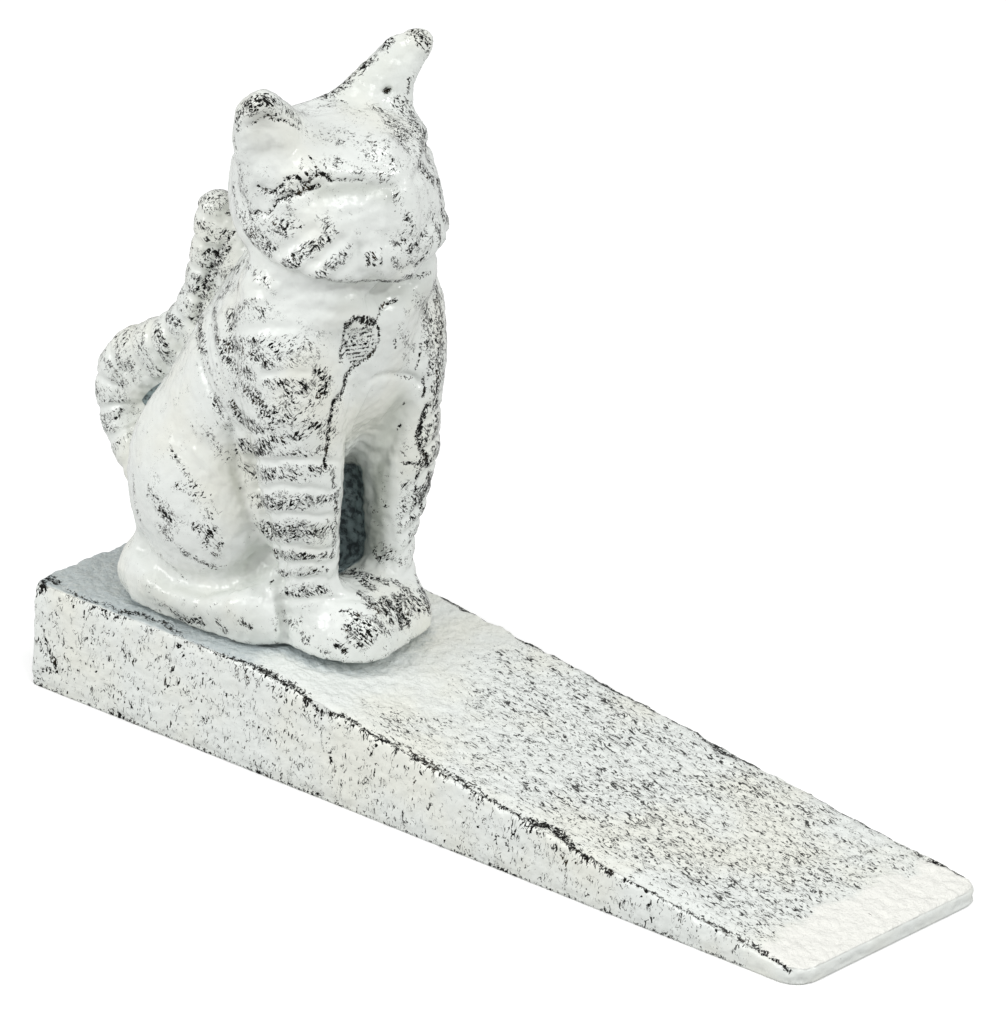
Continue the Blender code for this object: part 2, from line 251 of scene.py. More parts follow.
class Skin:
    """A casting's fine mesh while it is carved: points, normals and marks as arrays."""

    def __init__(self, node, name, voxel, rounding):
        solid = welded(node.data, name)
        self.piece = new_object(name, solid)
        self.piece.data = self.remeshed(voxel, rounding)
        self.read()
        if rounding:
            self.grow_back(solid)
        self.wear, self.kept, self.line, self.lift = np.zeros((4, len(self.points)))

    def remeshed(self, voxel, rounding):
        """The piece as one fine even mesh, with its facets rounded first where that is asked."""
        if rounding:
            rounded = self.piece.modifiers.new("rounded", "SUBSURF")
            rounded.levels = rounded.render_levels = 1
        remesh = self.piece.modifiers.new("skin", "REMESH")
        remesh.mode = "VOXEL"
        remesh.voxel_size = voxel * MM
        remesh.use_smooth_shade = True
        soften = self.piece.modifiers.new("soften", "SMOOTH")
        soften.factor = SMOOTHING_SHARE
        soften.iterations = SMOOTHING_PASSES
        graph = bpy.context.evaluated_depsgraph_get()
        mesh = bpy.data.meshes.new_from_object(self.piece.evaluated_get(graph))
        self.piece.modifiers.clear()
        return mesh

    def grow_back(self, solid):
        """Undoes the shrinking that comes with rounding, and leaves the facets rounded."""
        tree = search_tree(solid)
        for blur in REGROWTH_BLURS:
            lost = np.zeros(len(self.points))
            for i, (point, normal) in enumerate(zip(self.points, self.normals)):
                nearest = tree.find_nearest(Vector(point))[0]
                lost[i] = (nearest - Vector(point)).dot(Vector(normal))
            self.lift = self.blurred(lost, blur)
            self.settle()

    def read(self):
        mesh = self.piece.data
        self.points = vectors(mesh.vertices, "co") / MM
        self.normals = vectors(mesh.vertices, "normal")
        edges = np.zeros(len(mesh.edges) * 2, np.int32)
        mesh.edges.foreach_get("vertices", edges)
        self.edges = edges.reshape(-1, 2)
        self.tree = search_tree(mesh)

    def seen(self, run):
        """Points and normals where the camera sees a run of pixels on the skin."""
        place = camera_place()
        found = []
        for x, y in curve_through(run):
            point, normal, _, _ = self.tree.ray_cast(place, pixel_ray(x, y))
            if point is not None:
                found.append((point, normal))
        return found

    def mirrored(self, found):
        """The same run on the casting's other side."""
        other = []
        for point, _ in found:
            near, facing, _, _ = self.tree.find_nearest(Vector((point.x, -point.y, point.z)))
            other.append((near, facing))
        return other

    def share(self, found, stroke):
        """The points near a run on the skin, and how much of its stroke each takes."""
        places = np.array([p for p, _ in found])
        facings = np.array([n for _, n in found])
        reach = stroke.width * STROKE_REACH
        low = places.min(0) - reach
        high = places.max(0) + reach
        close = np.nonzero(((self.points > low) & (self.points < high)).all(1))[0]
        if not len(close):
            return close, close
        apart = np.linalg.norm(self.points[close, None] - places[None], axis=2)
        facing = (self.normals[close] * facings[apart.argmin(1)]).sum(1)
        return close, bell(apart.min(1), stroke.width) * np.clip(facing / FULL_FACING, 0, 1)

    def mark(self, found, stroke):
        close, share = self.share(found, stroke)
        self.lift[close] += stroke.lift * share
        if stroke.wear > 0:
            self.wear[close] = np.maximum(self.wear[close], stroke.wear * share)
        else:
            self.kept[close] -= stroke.wear * share
        self.line[close] = np.maximum(self.line[close], stroke.line * share)

    def carve(self, strokes, both_sides=True):
        for stroke in strokes:
            found = self.seen(stroke.pixels)
            if found:
                self.mark(found, stroke)
            if found and both_sides:
                self.mark(self.mirrored(found), stroke)

    def covered(self, strokes):
        """How far each point lies under the strokes, from 0 to their wear."""
        cover = np.zeros(len(self.points))
        for stroke in strokes:
            found = self.seen(stroke.pixels)
            if found:
                close, share = self.share(found, stroke)
                cover[close] = np.maximum(cover[close], stroke.wear * share)
        return cover

    def blurred(self, values, passes):
        """Values averaged with their neighbours' along the skin's edges."""
        a, b = self.edges[:, 0], self.edges[:, 1]
        degree = np.bincount(self.edges.ravel(), minlength=len(values))
        columns = values.reshape(len(values), -1).T.copy()
        for _ in range(passes):
            for k, column in enumerate(columns):
                total = np.bincount(a, column[b], len(column))
                total += np.bincount(b, column[a], len(column))
                columns[k] = (column + total / degree) / 2
        return columns.T.reshape(values.shape)

    def bulge(self, passes):
        """How far each point stands out of its surroundings, which widen with the passes."""
        return ((self.points - self.blurred(self.points, passes)) * self.normals).sum(1)

    def shelter(self, reach):
        """How hemmed in each point is, from 0 to 1: the share of rays out of it that meet the
        skin again within reach."""
        ways = directions_up(SHELTER_RAYS)
        total = np.zeros(len(self.points))
        known = np.zeros(len(self.points))
        for i in range(0, len(self.points), SHELTER_SAMPLE):
            normal = Vector(self.normals[i])
            start = Vector(self.points[i]) + normal * SHELTER_START
            turned = normal.to_track_quat("Z", "Y")
            met = [self.tree.ray_cast(start, turned @ way, reach)[0] is not None for way in ways]
            total[i] = sum(met) / SHELTER_RAYS
            known[i] = 1
        total = self.blurred(total, SHELTER_SPREAD)
        known = self.blurred(known, SHELTER_SPREAD)
        return total / np.maximum(known, LEAST_SPREAD)

    def soften(self, strokes, passes):
        """Melts the skin under the strokes into its surroundings."""
        cover = self.covered(strokes)[:, None]
        self.points = self.points + (self.blurred(self.points, passes) - self.points) * cover
        self.settle()

    def settle(self):
        """Moves the points by what the strokes so far have lifted, and reads the skin again."""
        self.points = self.points + self.normals * self.lift[:, None]
        self.lift[:] = 0
        self.piece.data.vertices.foreach_set("co", (self.points * MM).astype(np.float32).ravel())
        self.piece.data.update()
        self.read()

    def grain(self, grain):
        """A grain's noise at each point, up to about its depth either way."""
        offset = Vector((grain.seed, 2 * grain.seed, 3 * grain.seed))
        places = [Vector(p) + offset for p in self.points * np.array(grain.fineness) / grain.size]
        values = [noise.fractal(place, GRAIN_FADE, GRAIN_RATIO, GRAIN_LAYERS) for place in places]
        return np.array(values) * grain.depth

    def finish(self, **marks):
        """Settles the skin and stores the marks, from 0 to 1, for its material to read."""
        self.settle()
        for name, values in marks.items():
            attribute = self.piece.data.attributes.new(name, "FLOAT", "POINT")
            attribute.data.foreach_set("value", np.clip(values, 0, 1).astype(np.float32))
        for polygon in self.piece.data.polygons:
            polygon.use_smooth = True
        return self.piece


# Cat

# Its strokes are drawn over the photograph, and most lists are repeated on its far side. Those
# for the ears, chest, belly and far leg, the face's wear and the painted shade aren't.

EYES = [
    cut("300,187 320,183 345,183 370,184 392,188", 1.1, 0.55),
    cut("316,196 335,193 355,191 375,191", 1.3, 0.35),
    raised("286,176 300,174 322,170 345,173 370,174 388,176", 1.6, 0.35),
    raised("330,206 345,205 362,204", 2.0, 0.25),
    raised("385,198 385,212 384,226", 0.9, 0.35, -0.3),
    cut("308,209 325,214 340,216 358,213 374,206", 0.7, 0.22),
    cut("285,179 294,177 299,178 303,183", 0.5, 0.3, 0.6, 1.0),
    cut("303,183 309,182 312,177 319,174 325,175 331,180", 0.55, 0.3, 0.8, 1.0),
    cut("303,184 306,188 311,190", 0.5, 0.2, 0.8, 0.9),
    cut("331,180 341,179 353,180 366,179", 0.45, 0.3, 0.6, 0.74),
    cut("250,213 260,212 270,213 274,206 276,202 285,198 291,196", 0.45, 0.35, 0.7, 0.9),
    cut("282,199 295,195 303,193 311,190 318,187", 0.55, 0.4, 0.8, 1.0),
    cut("258,187 267,190 273,193 278,188 284,185", 0.5, 0.3, 0.7, 0.95),
    worn("280,188 292,190 300,188", 1.0, 0.6),
    worn("309,156 313,163 317,170", 0.35, 0.5, 0.85),
    worn("301,158 303,166 306,172", 0.35, 0.5, 0.8),
    worn("323,163 326,169", 0.35, 0.5, 0.8),
]

CHEEKS = [
    cut("277,256 290,246 301,238 314,229", 0.9, 0.5, -0.6),
    cut("296,273 315,263 329,250 340,240", 0.9, 0.5, -0.6),
    cut("322,282 335,274 350,264 358,250", 0.8, 0.4, -0.6),
    cut("359,246 359,258 358,272", 0.8, 0.4, -0.7),
    cut("386,246 387,258 389,270", 0.8, 0.3, -0.5),
    raised("250,224 258,236 268,246 276,252", 2.8, 0.25, 0.68),
    raised("274,224 284,228 292,232 299,238", 3.3, 0.3, 0.68),
    raised("298,258 310,251 326,240", 4.2, 0.4, 0.7),
    raised("328,270 340,262 349,256", 3.6, 0.3, 0.68),
    raised("367,252 368,264", 0.6, 0.2, 0.95),
    raised("374,253 375,266", 0.6, 0.2, 0.95),
    raised("381,250 381,263", 0.6, 0.2, 0.95),
    cut("391,242 397,245 404,242", 0.9, 0.2, 0.8),
    cut("391,258 396,264 402,270", 1.0, 0.2, 0.8),
    raised("326,279 345,283 362,283", 1.1, 0.1, 0.78),
    raised("404,278 418,276 430,270", 0.9, 0.1, 0.75),
    worn("410,262 417,255 419,244", 1.4, 0.62),
]

JAW = [
    cut("238,226 247,242 260,257 276,268 296,277 318,284 345,289 385,290 415,284", 1.3, 0.9, -0.3),
    raised("240,214 249,232 263,247 282,259 303,269 327,276 353,280", 1.4, 0.35, 0.2),
    raised("252,262 266,280 285,292 310,300 340,305", 1.6, 0.3),
    cut("300,300 330,308 360,306 385,300", 2.6, 0.45, -0.4),
]

NEAR_EAR = [
    raised("258,138 272,138 284,142", 2.6, 0.7),
    raised("286,128 293,140 294,154", 2.8, 1.1),
]
NEAR_EAR_SOFT = [worn("286,124 298,132 304,144 302,156", 3.4, 1.0)]
EAR_SOFTENING = 60
NEAR_EAR_MARKS = [
    raised("238,128 240,113 250,102 262,99", 1.5, 0.1, 0.74),
    raised("250,112 262,108 276,112", 1.8, 0.1, 0.58),
    raised("262,98 276,103 290,112 299,122", 1.6, 0.1, 0.72),
    cut("247,126 257,121 268,115", 0.5, 0.25, 0.5, 0.8),
    cut("267,116 275,120 285,121 292,124 299,127", 0.5, 0.35, 0.4, 1.0),
    worn("262,134 276,138 290,146", 3.0, -0.5),
    worn("234,130 234,141 238,150", 0.9, 0.6),
]

FAR_EAR = [
    cut("358,92 372,79 386,68 402,54", 2.6, 0.9, -0.3),
    cut("384,90 396,78 405,62", 2.4, 0.4, -0.3),
    raised("318,102 332,96 347,85 362,71 376,58 390,44", 1.6, 0.65, 0.8),
    raised("390,43 402,35 412,31", 0.8, 0.2, 0.4),
    worn("404,48 408,36 416,33", 0.9, 0.7),
    raised("414,33 421,38 427,46", 1.5, 0.2, 0.8),
    cut("417,32 415,38 418,46", 0.35, 0.15, 0.4, 1.0),
    raised("411,62 414,70 411,80", 0.7, 0.3, 0.4),
    worn("410,78 409,86 408,93", 0.5, 0.6, 0.95),
    cut("313,99 328,97 342,99 350,104", 0.35, 0.3, 0.3, 0.85),
    worn("330,88 345,92 362,78", 1.6, 0.45),
    worn("393,108 399,104 406,100", 0.6, 0.8),
]
PINHOLE = cut("386,91 389,91", 0.46, 1.4, 0.0, 1.9)

FACE_WEAR = [
    worn("392,112 408,134 418,160", 5.0, 0.52),
    worn("300,128 330,134 362,146 386,168", 5.0, 0.44),
    worn("300,166 330,160 360,168 384,172", 2.6, 0.46),
    worn("425,190 430,215 428,245", 4.0, 0.52),
    worn("240,170 243,195 250,215", 4.0, 0.5),
    worn("376,108 388,118 396,130 404,146", 2.6, 0.78),
    worn("400,104 412,120 422,140 428,160", 2.6, 0.74),
    worn("384,112 396,122 410,134", 1.2, 0.8),
    worn("418,165 426,172 433,180", 1.9, 0.8),
    worn("352,102 366,110 376,120", 1.4, 0.4),
    worn("355,140 362,150", 0.8, 0.5),
    worn("382,150 390,158 394,168", 1.0, 0.6),
    worn("438,182 442,205 441,225 437,245", 1.6, 0.85),
    worn("428,205 433,225 430,250", 1.6, 0.7),
    worn("405,212 412,230 418,246", 1.6, 0.62),
    worn("392,186 398,200 404,212", 1.4, 0.55),
    worn("420,190 426,205 424,220", 1.2, 0.5),
    worn("240,188 246,200 252,212", 1.8, 0.66),
    worn("233,190 237,206 244,220", 1.6, 0.66),
    worn("262,190 270,198 280,192", 1.3, 0.62),
    worn("286,184 296,188", 1.2, 0.45),
    worn("234,158 240,166 246,174", 1.4, 0.5),
    worn("270,214 284,212 296,222", 1.8, 0.5),
    worn("318,218 332,222 344,232", 1.2, 0.45),
    worn("380,232 392,236 402,232", 1.2, 0.5),
]

CHEST = [
    cut("326,280 350,283 380,283 408,281 432,273", 0.9, 0.2, 0.78, 0.7),
    cut("400,300 392,303 384,310 379,320", 0.5, 0.25, 0.3, 1.0),
    cut("346,325 344,336 341,350 341,360", 0.45, 0.25, 0.4, 0.95),
    cut("377,322 380,334 378,346 371,355 358,366", 0.45, 0.25, 0.3, 0.95),
    raised("348,326 355,320 364,320 375,323", 1.0, 0.1, 1.1, 0.85),
    worn("352,330 362,328 372,330", 0.6, 0.9),
    worn("345,343 343,352 341,361", 0.8, 0.8, 0.5),
    raised("362,344", 2.6, 0.35),
    cut("356,367 347,377 345,389 335,403", 0.75, 0.35, 0.6, 1.0),
    cut("335,403 330,423 328,445 326,467", 0.65, 0.3, 0.6, 1.0),
    cut("396,341 397,348", 0.5, 0.2, 0.6, 0.9),
    worn("404,355 408,362", 0.9, 0.6),
    cut("420,344 420,355 415,370", 0.4, 0.15, 0.2, 0.9),
    worn("346,389 338,410 333,436", 1.2, 0.55),
    worn("416,290 424,308 430,330 430,350", 2.2, 0.72),
    worn("436,284 440,320 441,360 438,386", 2.0, 0.95),
    worn("400,328 404,340 412,348", 1.6, 0.62),
    worn("428,345 432,358 430,372", 1.6, 0.7),
    worn("398,300 410,310", 1.6, 0.45),
    cut("387,300 388,330 390,365", 2.2, 0.4, -0.5),
    cut("305,312 318,309 336,312", 1.6, 0.3),
]

BELLY = [
    cut("372,380 386,376 402,375 413,377 420,384", 0.6, 0.75, -0.2),
    worn("399,376 408,379 414,378", 0.35, 0.2, 0.9),
    cut("388,392 376,410 362,432", 3.4, 0.7, -0.4),
    raised("402,392 396,410 384,428 372,446 362,458", 1.5, 0.5, -0.4),
    cut("404,410 396,428 388,446 380,462", 1.5, 0.9, -0.4),
    raised("372,380 359,404 350,430 345,455", 0.7, 0.5, -0.3),
    raised("393,400 381,418 366,440", 0.7, 0.25),
    worn("404,402 405,406", 0.4, 0.4, 0.9),
    worn("397,432 401,427", 0.4, 0.3, 0.9),
    worn("397,460 403,462 406,456 401,452", 0.3, 0.2, 0.8),
    worn("385,507 389,506", 0.5, 0.3, 0.9),
    worn("374,512 378,510", 0.4, 0.3, 0.8),
]

FAR_LEG = [
    cut("424,378 425,388 423,397", 0.5, 0.2, 0.7, 1.0),
    cut("427,406 422,422 419,434", 0.9, 0.2, 0.95, 0.95),
    cut("419,434 421,447 426,458 428,466", 0.9, 0.1, 0.95, 0.95),
    cut("404,463 414,464 424,464", 0.5, 0.1, 0.4, 0.85),
    cut("430,474 429,484 422,498 420,508", 0.9, 0.1, 0.95, 0.9),
    worn("434,388 437,420 434,452", 1.8, 0.92),
    worn("430,476 428,500 422,524", 1.6, 0.85),
    worn("408,486 404,510 402,540", 1.8, 0.6),
    worn("416,500 412,525 410,552", 1.6, 0.72),
    worn("380,546 392,556 404,562", 1.3, 0.72),
    worn("374,552 382,560 390,552", 1.0, 0.75),
    worn("404,425 402,440 408,455", 1.6, 0.5),
]

# The hatched oval on the chest, in pixels. Its rows rise to the right, from the first number to
# the second, and stop short of its outline.
TAG_ROWS = range(334, 366, 4)
TAG_MIDDLE = 361
TAG_HALF_WIDTH = 16
TAG_TOP = 325
TAG_BOTTOM = 367
TAG_RISE = (1, -2)
TAG_FILL = 0.9
TAG_ROW = Stroke([], 0.34, -0.25, 0.0, 0.98)

BACK = [
    cut("234,231 223,244 215,259 207,277 201,297 196,320 194,337 198,352", 0.6, 0.6, 0.3, 0.75),
    cut("198,352 203,372 212,394 224,414 240,432", 0.7, 0.5, 0.3, 0.5),
    cut("235,240 224,256 216,272 212,290 210,310 210,330 214,352", 0.6, 0.5, 0.2, 0.55),
    cut("214,352 221,376 230,398 240,418", 0.7, 0.4),
    raised("222,256 212,276 205,300 202,326 205,350", 0.9, 0.5),
    worn("224,250 213,268 206,288", 1.5, 0.85),
    worn("203,300 201,322 202,342", 1.4, 1.0),
    raised("205,350 210,368 218,386", 1.0, 0.2, 0.6),
    worn("214,310 216,326 218,342", 1.4, 0.8),
    worn("219,350 228,372 238,394", 1.4, 0.6),
]

FLANK_WEAR = [
    worn("225,290 240,330 240,380", 6.0, 0.5),
    worn("265,320 280,360 285,410", 6.0, 0.5),
    worn("310,350 310,400 300,440", 5.0, 0.48),
    worn("222,276 230,272 238,268", 2.2, 0.75),
    worn("218,298 228,292 238,286", 2.2, 0.62),
    worn("228,312 236,320 230,328", 1.9, 0.81),
    worn("238,308 252,304 262,312", 1.9, 0.71),
    worn("240,322 262,318 280,322", 1.7, 0.53),
    worn("222,350 232,344 242,350", 1.9, 0.87),
    worn("242,340 254,342 262,350", 1.9, 0.73),
    worn("252,356 262,358 268,366", 1.4, 0.93),
    worn("230,362 240,370 250,376", 2.0, 0.85),
    worn("274,344 290,350 306,348", 2.2, 0.59),
    worn("280,362 300,362 318,356", 1.7, 0.57),
    worn("243,388 252,396 262,402", 2.2, 0.83),
    worn("268,382 284,383 300,382", 1.7, 0.79),
    worn("286,394 302,390 314,384", 2.2, 0.67),
    worn("320,372 326,382 320,394", 2.0, 0.83),
    worn("234,408 244,420 256,428", 2.2, 0.79),
    worn("262,414 276,410 290,402", 2.2, 0.69),
    worn("262,434 276,424 290,418", 1.9, 0.73),
    worn("292,412 306,408 318,402", 1.9, 0.63),
    worn("246,446 256,450 268,446", 1.9, 0.99),
    worn("276,440 292,438 304,434", 1.8, 0.77),
    worn("306,430 316,426 322,432", 1.9, 0.67),
    worn("298,452 312,456 324,448", 1.4, 0.67),
    worn("300,320 312,330 326,336", 1.9, 0.49),
    worn("216,398 226,420 236,440", 1.9, 0.59),
    worn("244,262 254,272 266,284", 1.7, 0.59),
    worn("262,286 280,296 296,304", 1.7, 0.49),
    worn("205,425 216,446 228,462", 1.7, 0.57),
]

# Fine lines side by side: the first one, how many there are, the step from each to the next in
# pixels, and how dark they are
Fur = namedtuple("Fur", "path count step line")
FURS = [
    Fur("224,247 210,272 202,300 198,330 201,356", 3, (3.0, 0.6), 0.82),
    Fur("202,358 208,380 218,400 231,420", 4, (4.2, -1.0), 0.72),
    Fur("246,222 252,234 262,246", 5, (4.6, 2.2), 0.74),
]
FUR_WIDTH = 0.3
FUR_DEPTH = 0.12

FLANK_GROOVES = [
    cut("220,305 234,300 250,292 262,290", 0.8, 0.3, -0.5),
    cut("238,332 252,329 270,327 290,328", 0.8, 0.3, -0.6),
    cut("264,375 284,373 306,374", 0.7, 0.25, -0.5),
    cut("236,346 243,352 250,360", 0.3, 0.15, 0.0, 0.8),
    cut("257,347 248,356 240,364", 0.3, 0.15, 0.0, 0.8),
    raised("250,300 262,294 270,288", 1.4, 0.35),
    raised("246,290 256,282", 1.2, 0.3),
]

HAUNCH = [
    cut("140,545 150,560 166,575 186,583 210,586 232,582 252,570 262,560", 1.7, 1.5, -0.3),
    raised("150,584 170,598 196,605 224,604 250,598", 2.4, 0.6),
    raised("160,505 176,530 200,545 222,545", 5.5, 0.7),
    raised("196,450 206,460 218,473 232,485", 1.2, 0.6, -0.2),
    cut("204,446 216,458 230,470", 1.2, 0.3),
    cut("232,492 238,515 246,540 254,560", 3.6, 1.1, -0.3),
    cut("230,432 234,452 240,480 246,502 252,522 260,542 268,558 275,576", 1.3, 1.0, -0.2),
    cut("279,580 283,602 285,640", 0.8, 0.8, -0.2),
    raised("272,588 275,610 276,638", 1.0, 0.5),
    raised("240,440 245,468 252,496 261,526 272,550 282,574 288,600", 1.2, 0.45),
    worn("158,496 162,499", 0.7, 0.9, 0.7),
    worn("165,508 168,514 170,518", 0.9, 0.95, 0.9),
    worn("156,495 164,508 174,522 168,532", 2.8, 0.62),
    worn("180,486 192,490 204,500 208,514", 2.2, 0.62),
    worn("170,448 176,458 184,470 188,478", 0.9, 0.7),
    worn("198,526 210,530 208,544", 1.2, 0.85, 0.3),
    worn("214,530 220,540 218,550", 1.4, 0.7),
    worn("182,546 189,552 201,558 215,566", 1.0, 0.7, 0.55),
    worn("216,566 227,564", 0.4, 0.3, 0.7),
    worn("158,558 166,570 178,580", 1.4, 0.66),
    worn("165,562 171,572 180,580", 0.35, 0.2, 0.8),
    worn("134,478 136,504 143,524", 1.2, 0.6),
    worn("212,450 222,460 230,468", 1.8, 0.45),
    worn("150,470 160,480", 1.6, 0.45),
    worn("239,492", 0.45, 0.4, 1.0),
    worn("270,582", 0.4, 0.4, 1.0),
    worn("160,600 161,604", 0.5, 0.5, 0.9),
    worn("178,617 190,620 202,622", 1.3, 0.9),
    worn("166,604 176,612", 1.2, 0.6),
    worn("219,622 225,630", 1.0, 0.85),
    worn("243,622 250,628", 1.0, 0.75),
]

# Worn bands between the forelegs' grooves
FORELEG_WEAR = [
    worn("243,470 270,474 296,472", 2.2, 0.8),
    worn("300,472 314,470 330,466", 1.9, 0.68),
    worn("252,500 280,503 304,502", 2.1, 0.86),
    worn("308,502 322,500 337,496", 1.9, 0.8),
    worn("259,528 282,533 304,532", 2.5, 0.96),
    worn("308,530 320,530 334,526", 2.2, 0.76),
    worn("268,552 292,558 308,556", 1.7, 0.88),
    worn("312,556 326,552", 1.5, 0.68),
    worn("276,572 300,576 316,573", 1.5, 0.76),
    worn("284,594 302,595 318,591", 1.7, 0.8),
    worn("285,466 295,520 305,592", 5.0, 0.56),
    cut("235,445 243,470 250,500 257,530", 0.9, 0.15, 0.8, 0.5),
    worn("332,470 336,500 335,530 332,556", 0.9, 0.85, 0.55),
]

PAWS = [
    worn("283,610 284,618 284,626", 1.0, 0.6),
    worn("288,622 294,624 300,620", 1.2, 0.75),
    worn("303,634 303,642 307,641", 0.8, 0.9),
    worn("308,637 314,636", 0.5, 0.7),
    worn("318,648 323,651 328,652", 0.6, 0.8),
    worn("337,645 343,649 345,653", 0.9, 0.9),
    worn("341,612 350,610", 0.5, 0.85),
    worn("354,616 361,618 366,622", 1.2, 1.0),
    worn("349,628 356,632 364,634 368,640", 1.5, 1.05),
    worn("360,645 364,640 370,642", 1.1, 1.0),
    worn("347,637 350,643", 0.5, 0.9),
    worn("368,626 375,622 381,628", 1.4, 1.0),
    worn("374,616 378,612", 0.9, 0.8),
    cut("385,599 392,607 402,614 408,623", 1.0, 0.1, 1.0, 0.8),
    worn("392,622 398,618 402,624", 1.0, 0.8),
    worn("398,582 404,588 410,594", 1.5, 0.95),
    worn("402,598 406,602 411,608", 1.5, 1.05),
    worn("350,570 361,578 370,588", 1.2, 1.05),
    worn("322,565 327,570", 0.5, 0.7, 0.7),
    worn("326,592 332,598 340,597", 1.0, 0.7),
    worn("388,634 392,630", 0.7, 0.6),
]

# Painted shade, drawn as thin grey paint, beside the painted shade that the skin's own hollows get
PAINTED_SHADE_STROKES = [
    worn("322,191 345,189 370,190 388,194", 2.0, 0.5),
    worn("346,302 370,300 400,296 428,288", 3.2, 0.35),
    worn("380,468 378,500 374,545", 2.6, 0.8),
    worn("398,400 388,430 378,458", 3.2, 0.6),
    worn("176,588 206,596 240,586", 1.2, 0.4),
    worn("238,500 244,530 254,556", 3.0, 0.2),
    worn("150,592 190,616 250,628", 4.0, 0.38),
    worn("300,640 340,650 400,632", 4.0, 0.18),
    worn("346,92 374,76 396,56", 5.0, 0.3),
]

# Grooves round the forelegs, as rows of the photograph at the near leg. ROW_ORIGIN is the row of
# photo_height 0.
FORELEG_GROOVES = [462, 489, 516, 548, 565, 583, 603]
ROW_ORIGIN = 595.6
ROWS_PER_MM = 5.756
FORELEG_GROOVE_WIDTH = 0.55
FORELEG_GROOVE_DEPTH = 0.4
FORELEG_GROOVE_PAINT = 0.55
FORELEG_SWAY = Grain(9.0, 1.0, 41)
FORELEG_SHAKE = Grain(3.0, 0.4, 43)

# Where they are, from none to all: how far forward, which moves back as the leg rises, how far
# from the middle, how far outward the skin faces, and how high
FORELEG_EDGE = (14.5, 16.5)
FORELEG_EDGE_LEAN = 0.22
FORELEG_SIDE = (3.5, 6.0)
FORELEG_FACING = (-0.5, 0.0)
FORELEG_HEIGHT = (3.0, 7.0)

# The tail's middle line, from its root, as places forward of the seat's middle and above it
TAIL_LINE = [
    (-18.0, 12.0), (-25.5, 15.5), (-30.4, 20.5), (-32.8, 25.5), (-32.4, 30.5), (-29.2, 34.5),
    (-24.5, 37.2), (-19.3, 39.9), (-14.8, 44.3), (-12.0, 50.0), (-10.8, 55.5), (-10.0, 60.0),
    (-9.2, 64.6), (-8.4, 71.0),
]

# The rings round it: where they are, away from the line and along it, and their grooves
TAIL_REACH = (6.5, 5.5)
TAIL_START = (6.0, 14.0)
TAIL_RING_SPACING = 5.0
TAIL_GROOVE_WIDTH = 0.7
TAIL_GROOVE_DEPTH = 0.45
TAIL_GROOVE_PAINT = 0.5
TAIL_WEAR = 0.5

TAIL_WEAR_STROKES = [
    worn("203,200 212,198 224,202", 2.0, 0.62),
    worn("200,212 212,212 226,214", 1.6, 0.5),
    worn("198,224 202,227 210,232", 1.0, 0.85),
    worn("220,232 228,232 232,228", 0.9, 0.8),
    worn("215,236 216,242", 0.6, 0.8),
    worn("192,241 200,241 206,240", 1.1, 0.7),
    cut("203,256 206,252 211,251 216,254", 0.65, 0.5, 0.4, 1.0),
    cut("204,257 206,261", 0.5, 0.3, 0.3, 0.9),
    worn("189,258 188,264 190,270", 0.8, 0.8),
    worn("199,277 204,279", 0.8, 0.7),
    worn("182,291 188,292 194,290", 0.7, 0.95),
    worn("182,304 186,308", 0.8, 0.6),
    worn("166,316 172,320 180,322", 1.5, 0.9),
    worn("157,326 160,336 166,346 162,356", 1.4, 0.75),
    worn("136,338 140,346 138,356", 1.2, 0.6),
    cut("140,322 131,329 128,343 130,356 136,366", 0.4, 0.35, 0.0, 0.75),
    cut("130,322 117,336 113,352 118,366 126,371", 0.4, 0.35, 0.0, 0.75),
    worn("120,368 126,371", 0.9, 0.9),
    worn("98,362 100,374", 0.9, 0.5),
    worn("94,372 93,384 95,394", 0.6, 0.7, 0.5),
    cut("97,410 104,419 114,420 121,413", 0.6, 0.2, 0.6, 0.7),
    worn("116,409 121,411", 0.8, 0.8),
]

# Where the iron is bare: the pocket between the forelegs, and the sheet that closes the tail's
# loop. Each pair runs from paint to bare iron.
POCKET_FRONT = (19.5, 16.5)
POCKET_REAR = (8.0, 12.0)
POCKET_SIDE = (7.5, 6.0)
POCKET_TOP = (27.0, 24.0)
POCKET_SHELTER = (0.35, 0.55)
TAIL_SHEET_MIDDLE = (-20.5, 30.5)
TAIL_SHEET_RADIUS = (7.5, 5.5)
TAIL_SHEET_SIDE = (1.9, 1.5)

# Wear all over the cat, and what its back and far side have more, where no stroke is drawn
CAT_WEAR = 0.25
UNSEEN_WEAR = 0.17
UNSEEN_WAY = (-0.67, 0.73, 0.0)
UNSEEN_FACING = (-0.25, 0.15)

# What stands out is worn more: the passes it is measured over, the wear for each millimetre, what
# is taken off that, and the most that is left
BULGE_PASSES = 14
BULGE_WEAR = 1.5
BULGE_START = 0.1
BULGE_MOST = 0.25

# Shelter: how far it reaches, how much leaves the paint without painted shade, and where it keeps
# out wear
SHELTER_REACH = 14.0
SHELTER_UNSHADED = 0.2
SHELTER_DEEP = (0.7, 0.95)
SHELTER_KEEPS = 0.6

# The cat's sand-cast surface: rougher in hollows, and drawn out upwards near its foot
CAT_SWELL = Grain(5.0, 0.14, 11)
CAT_SAND = Grain(1.5, 1.0, 23)
CAT_SAND_DEPTH = 0.13
HOLLOW_SAND_DEPTH = 0.2
HOLLOWS = (0.15, 0.45)
FOOT_RUNS = Grain(2.2, 0.2, 47, (1, 1, 0.3))
FOOT_HEIGHT = (20.0, 8.0)


def photo_height(points):
    """Height above the seat along the camera's view, the same on both sides of the cat."""
    level = math.tan(CAMERA_ELEVATION)
    forward = level * math.sin(CAMERA_AZIMUTH)
    outward = level * math.cos(CAMERA_AZIMUTH)
    return points[:, 2] - forward * points[:, 0] - outward * np.abs(points[:, 1])


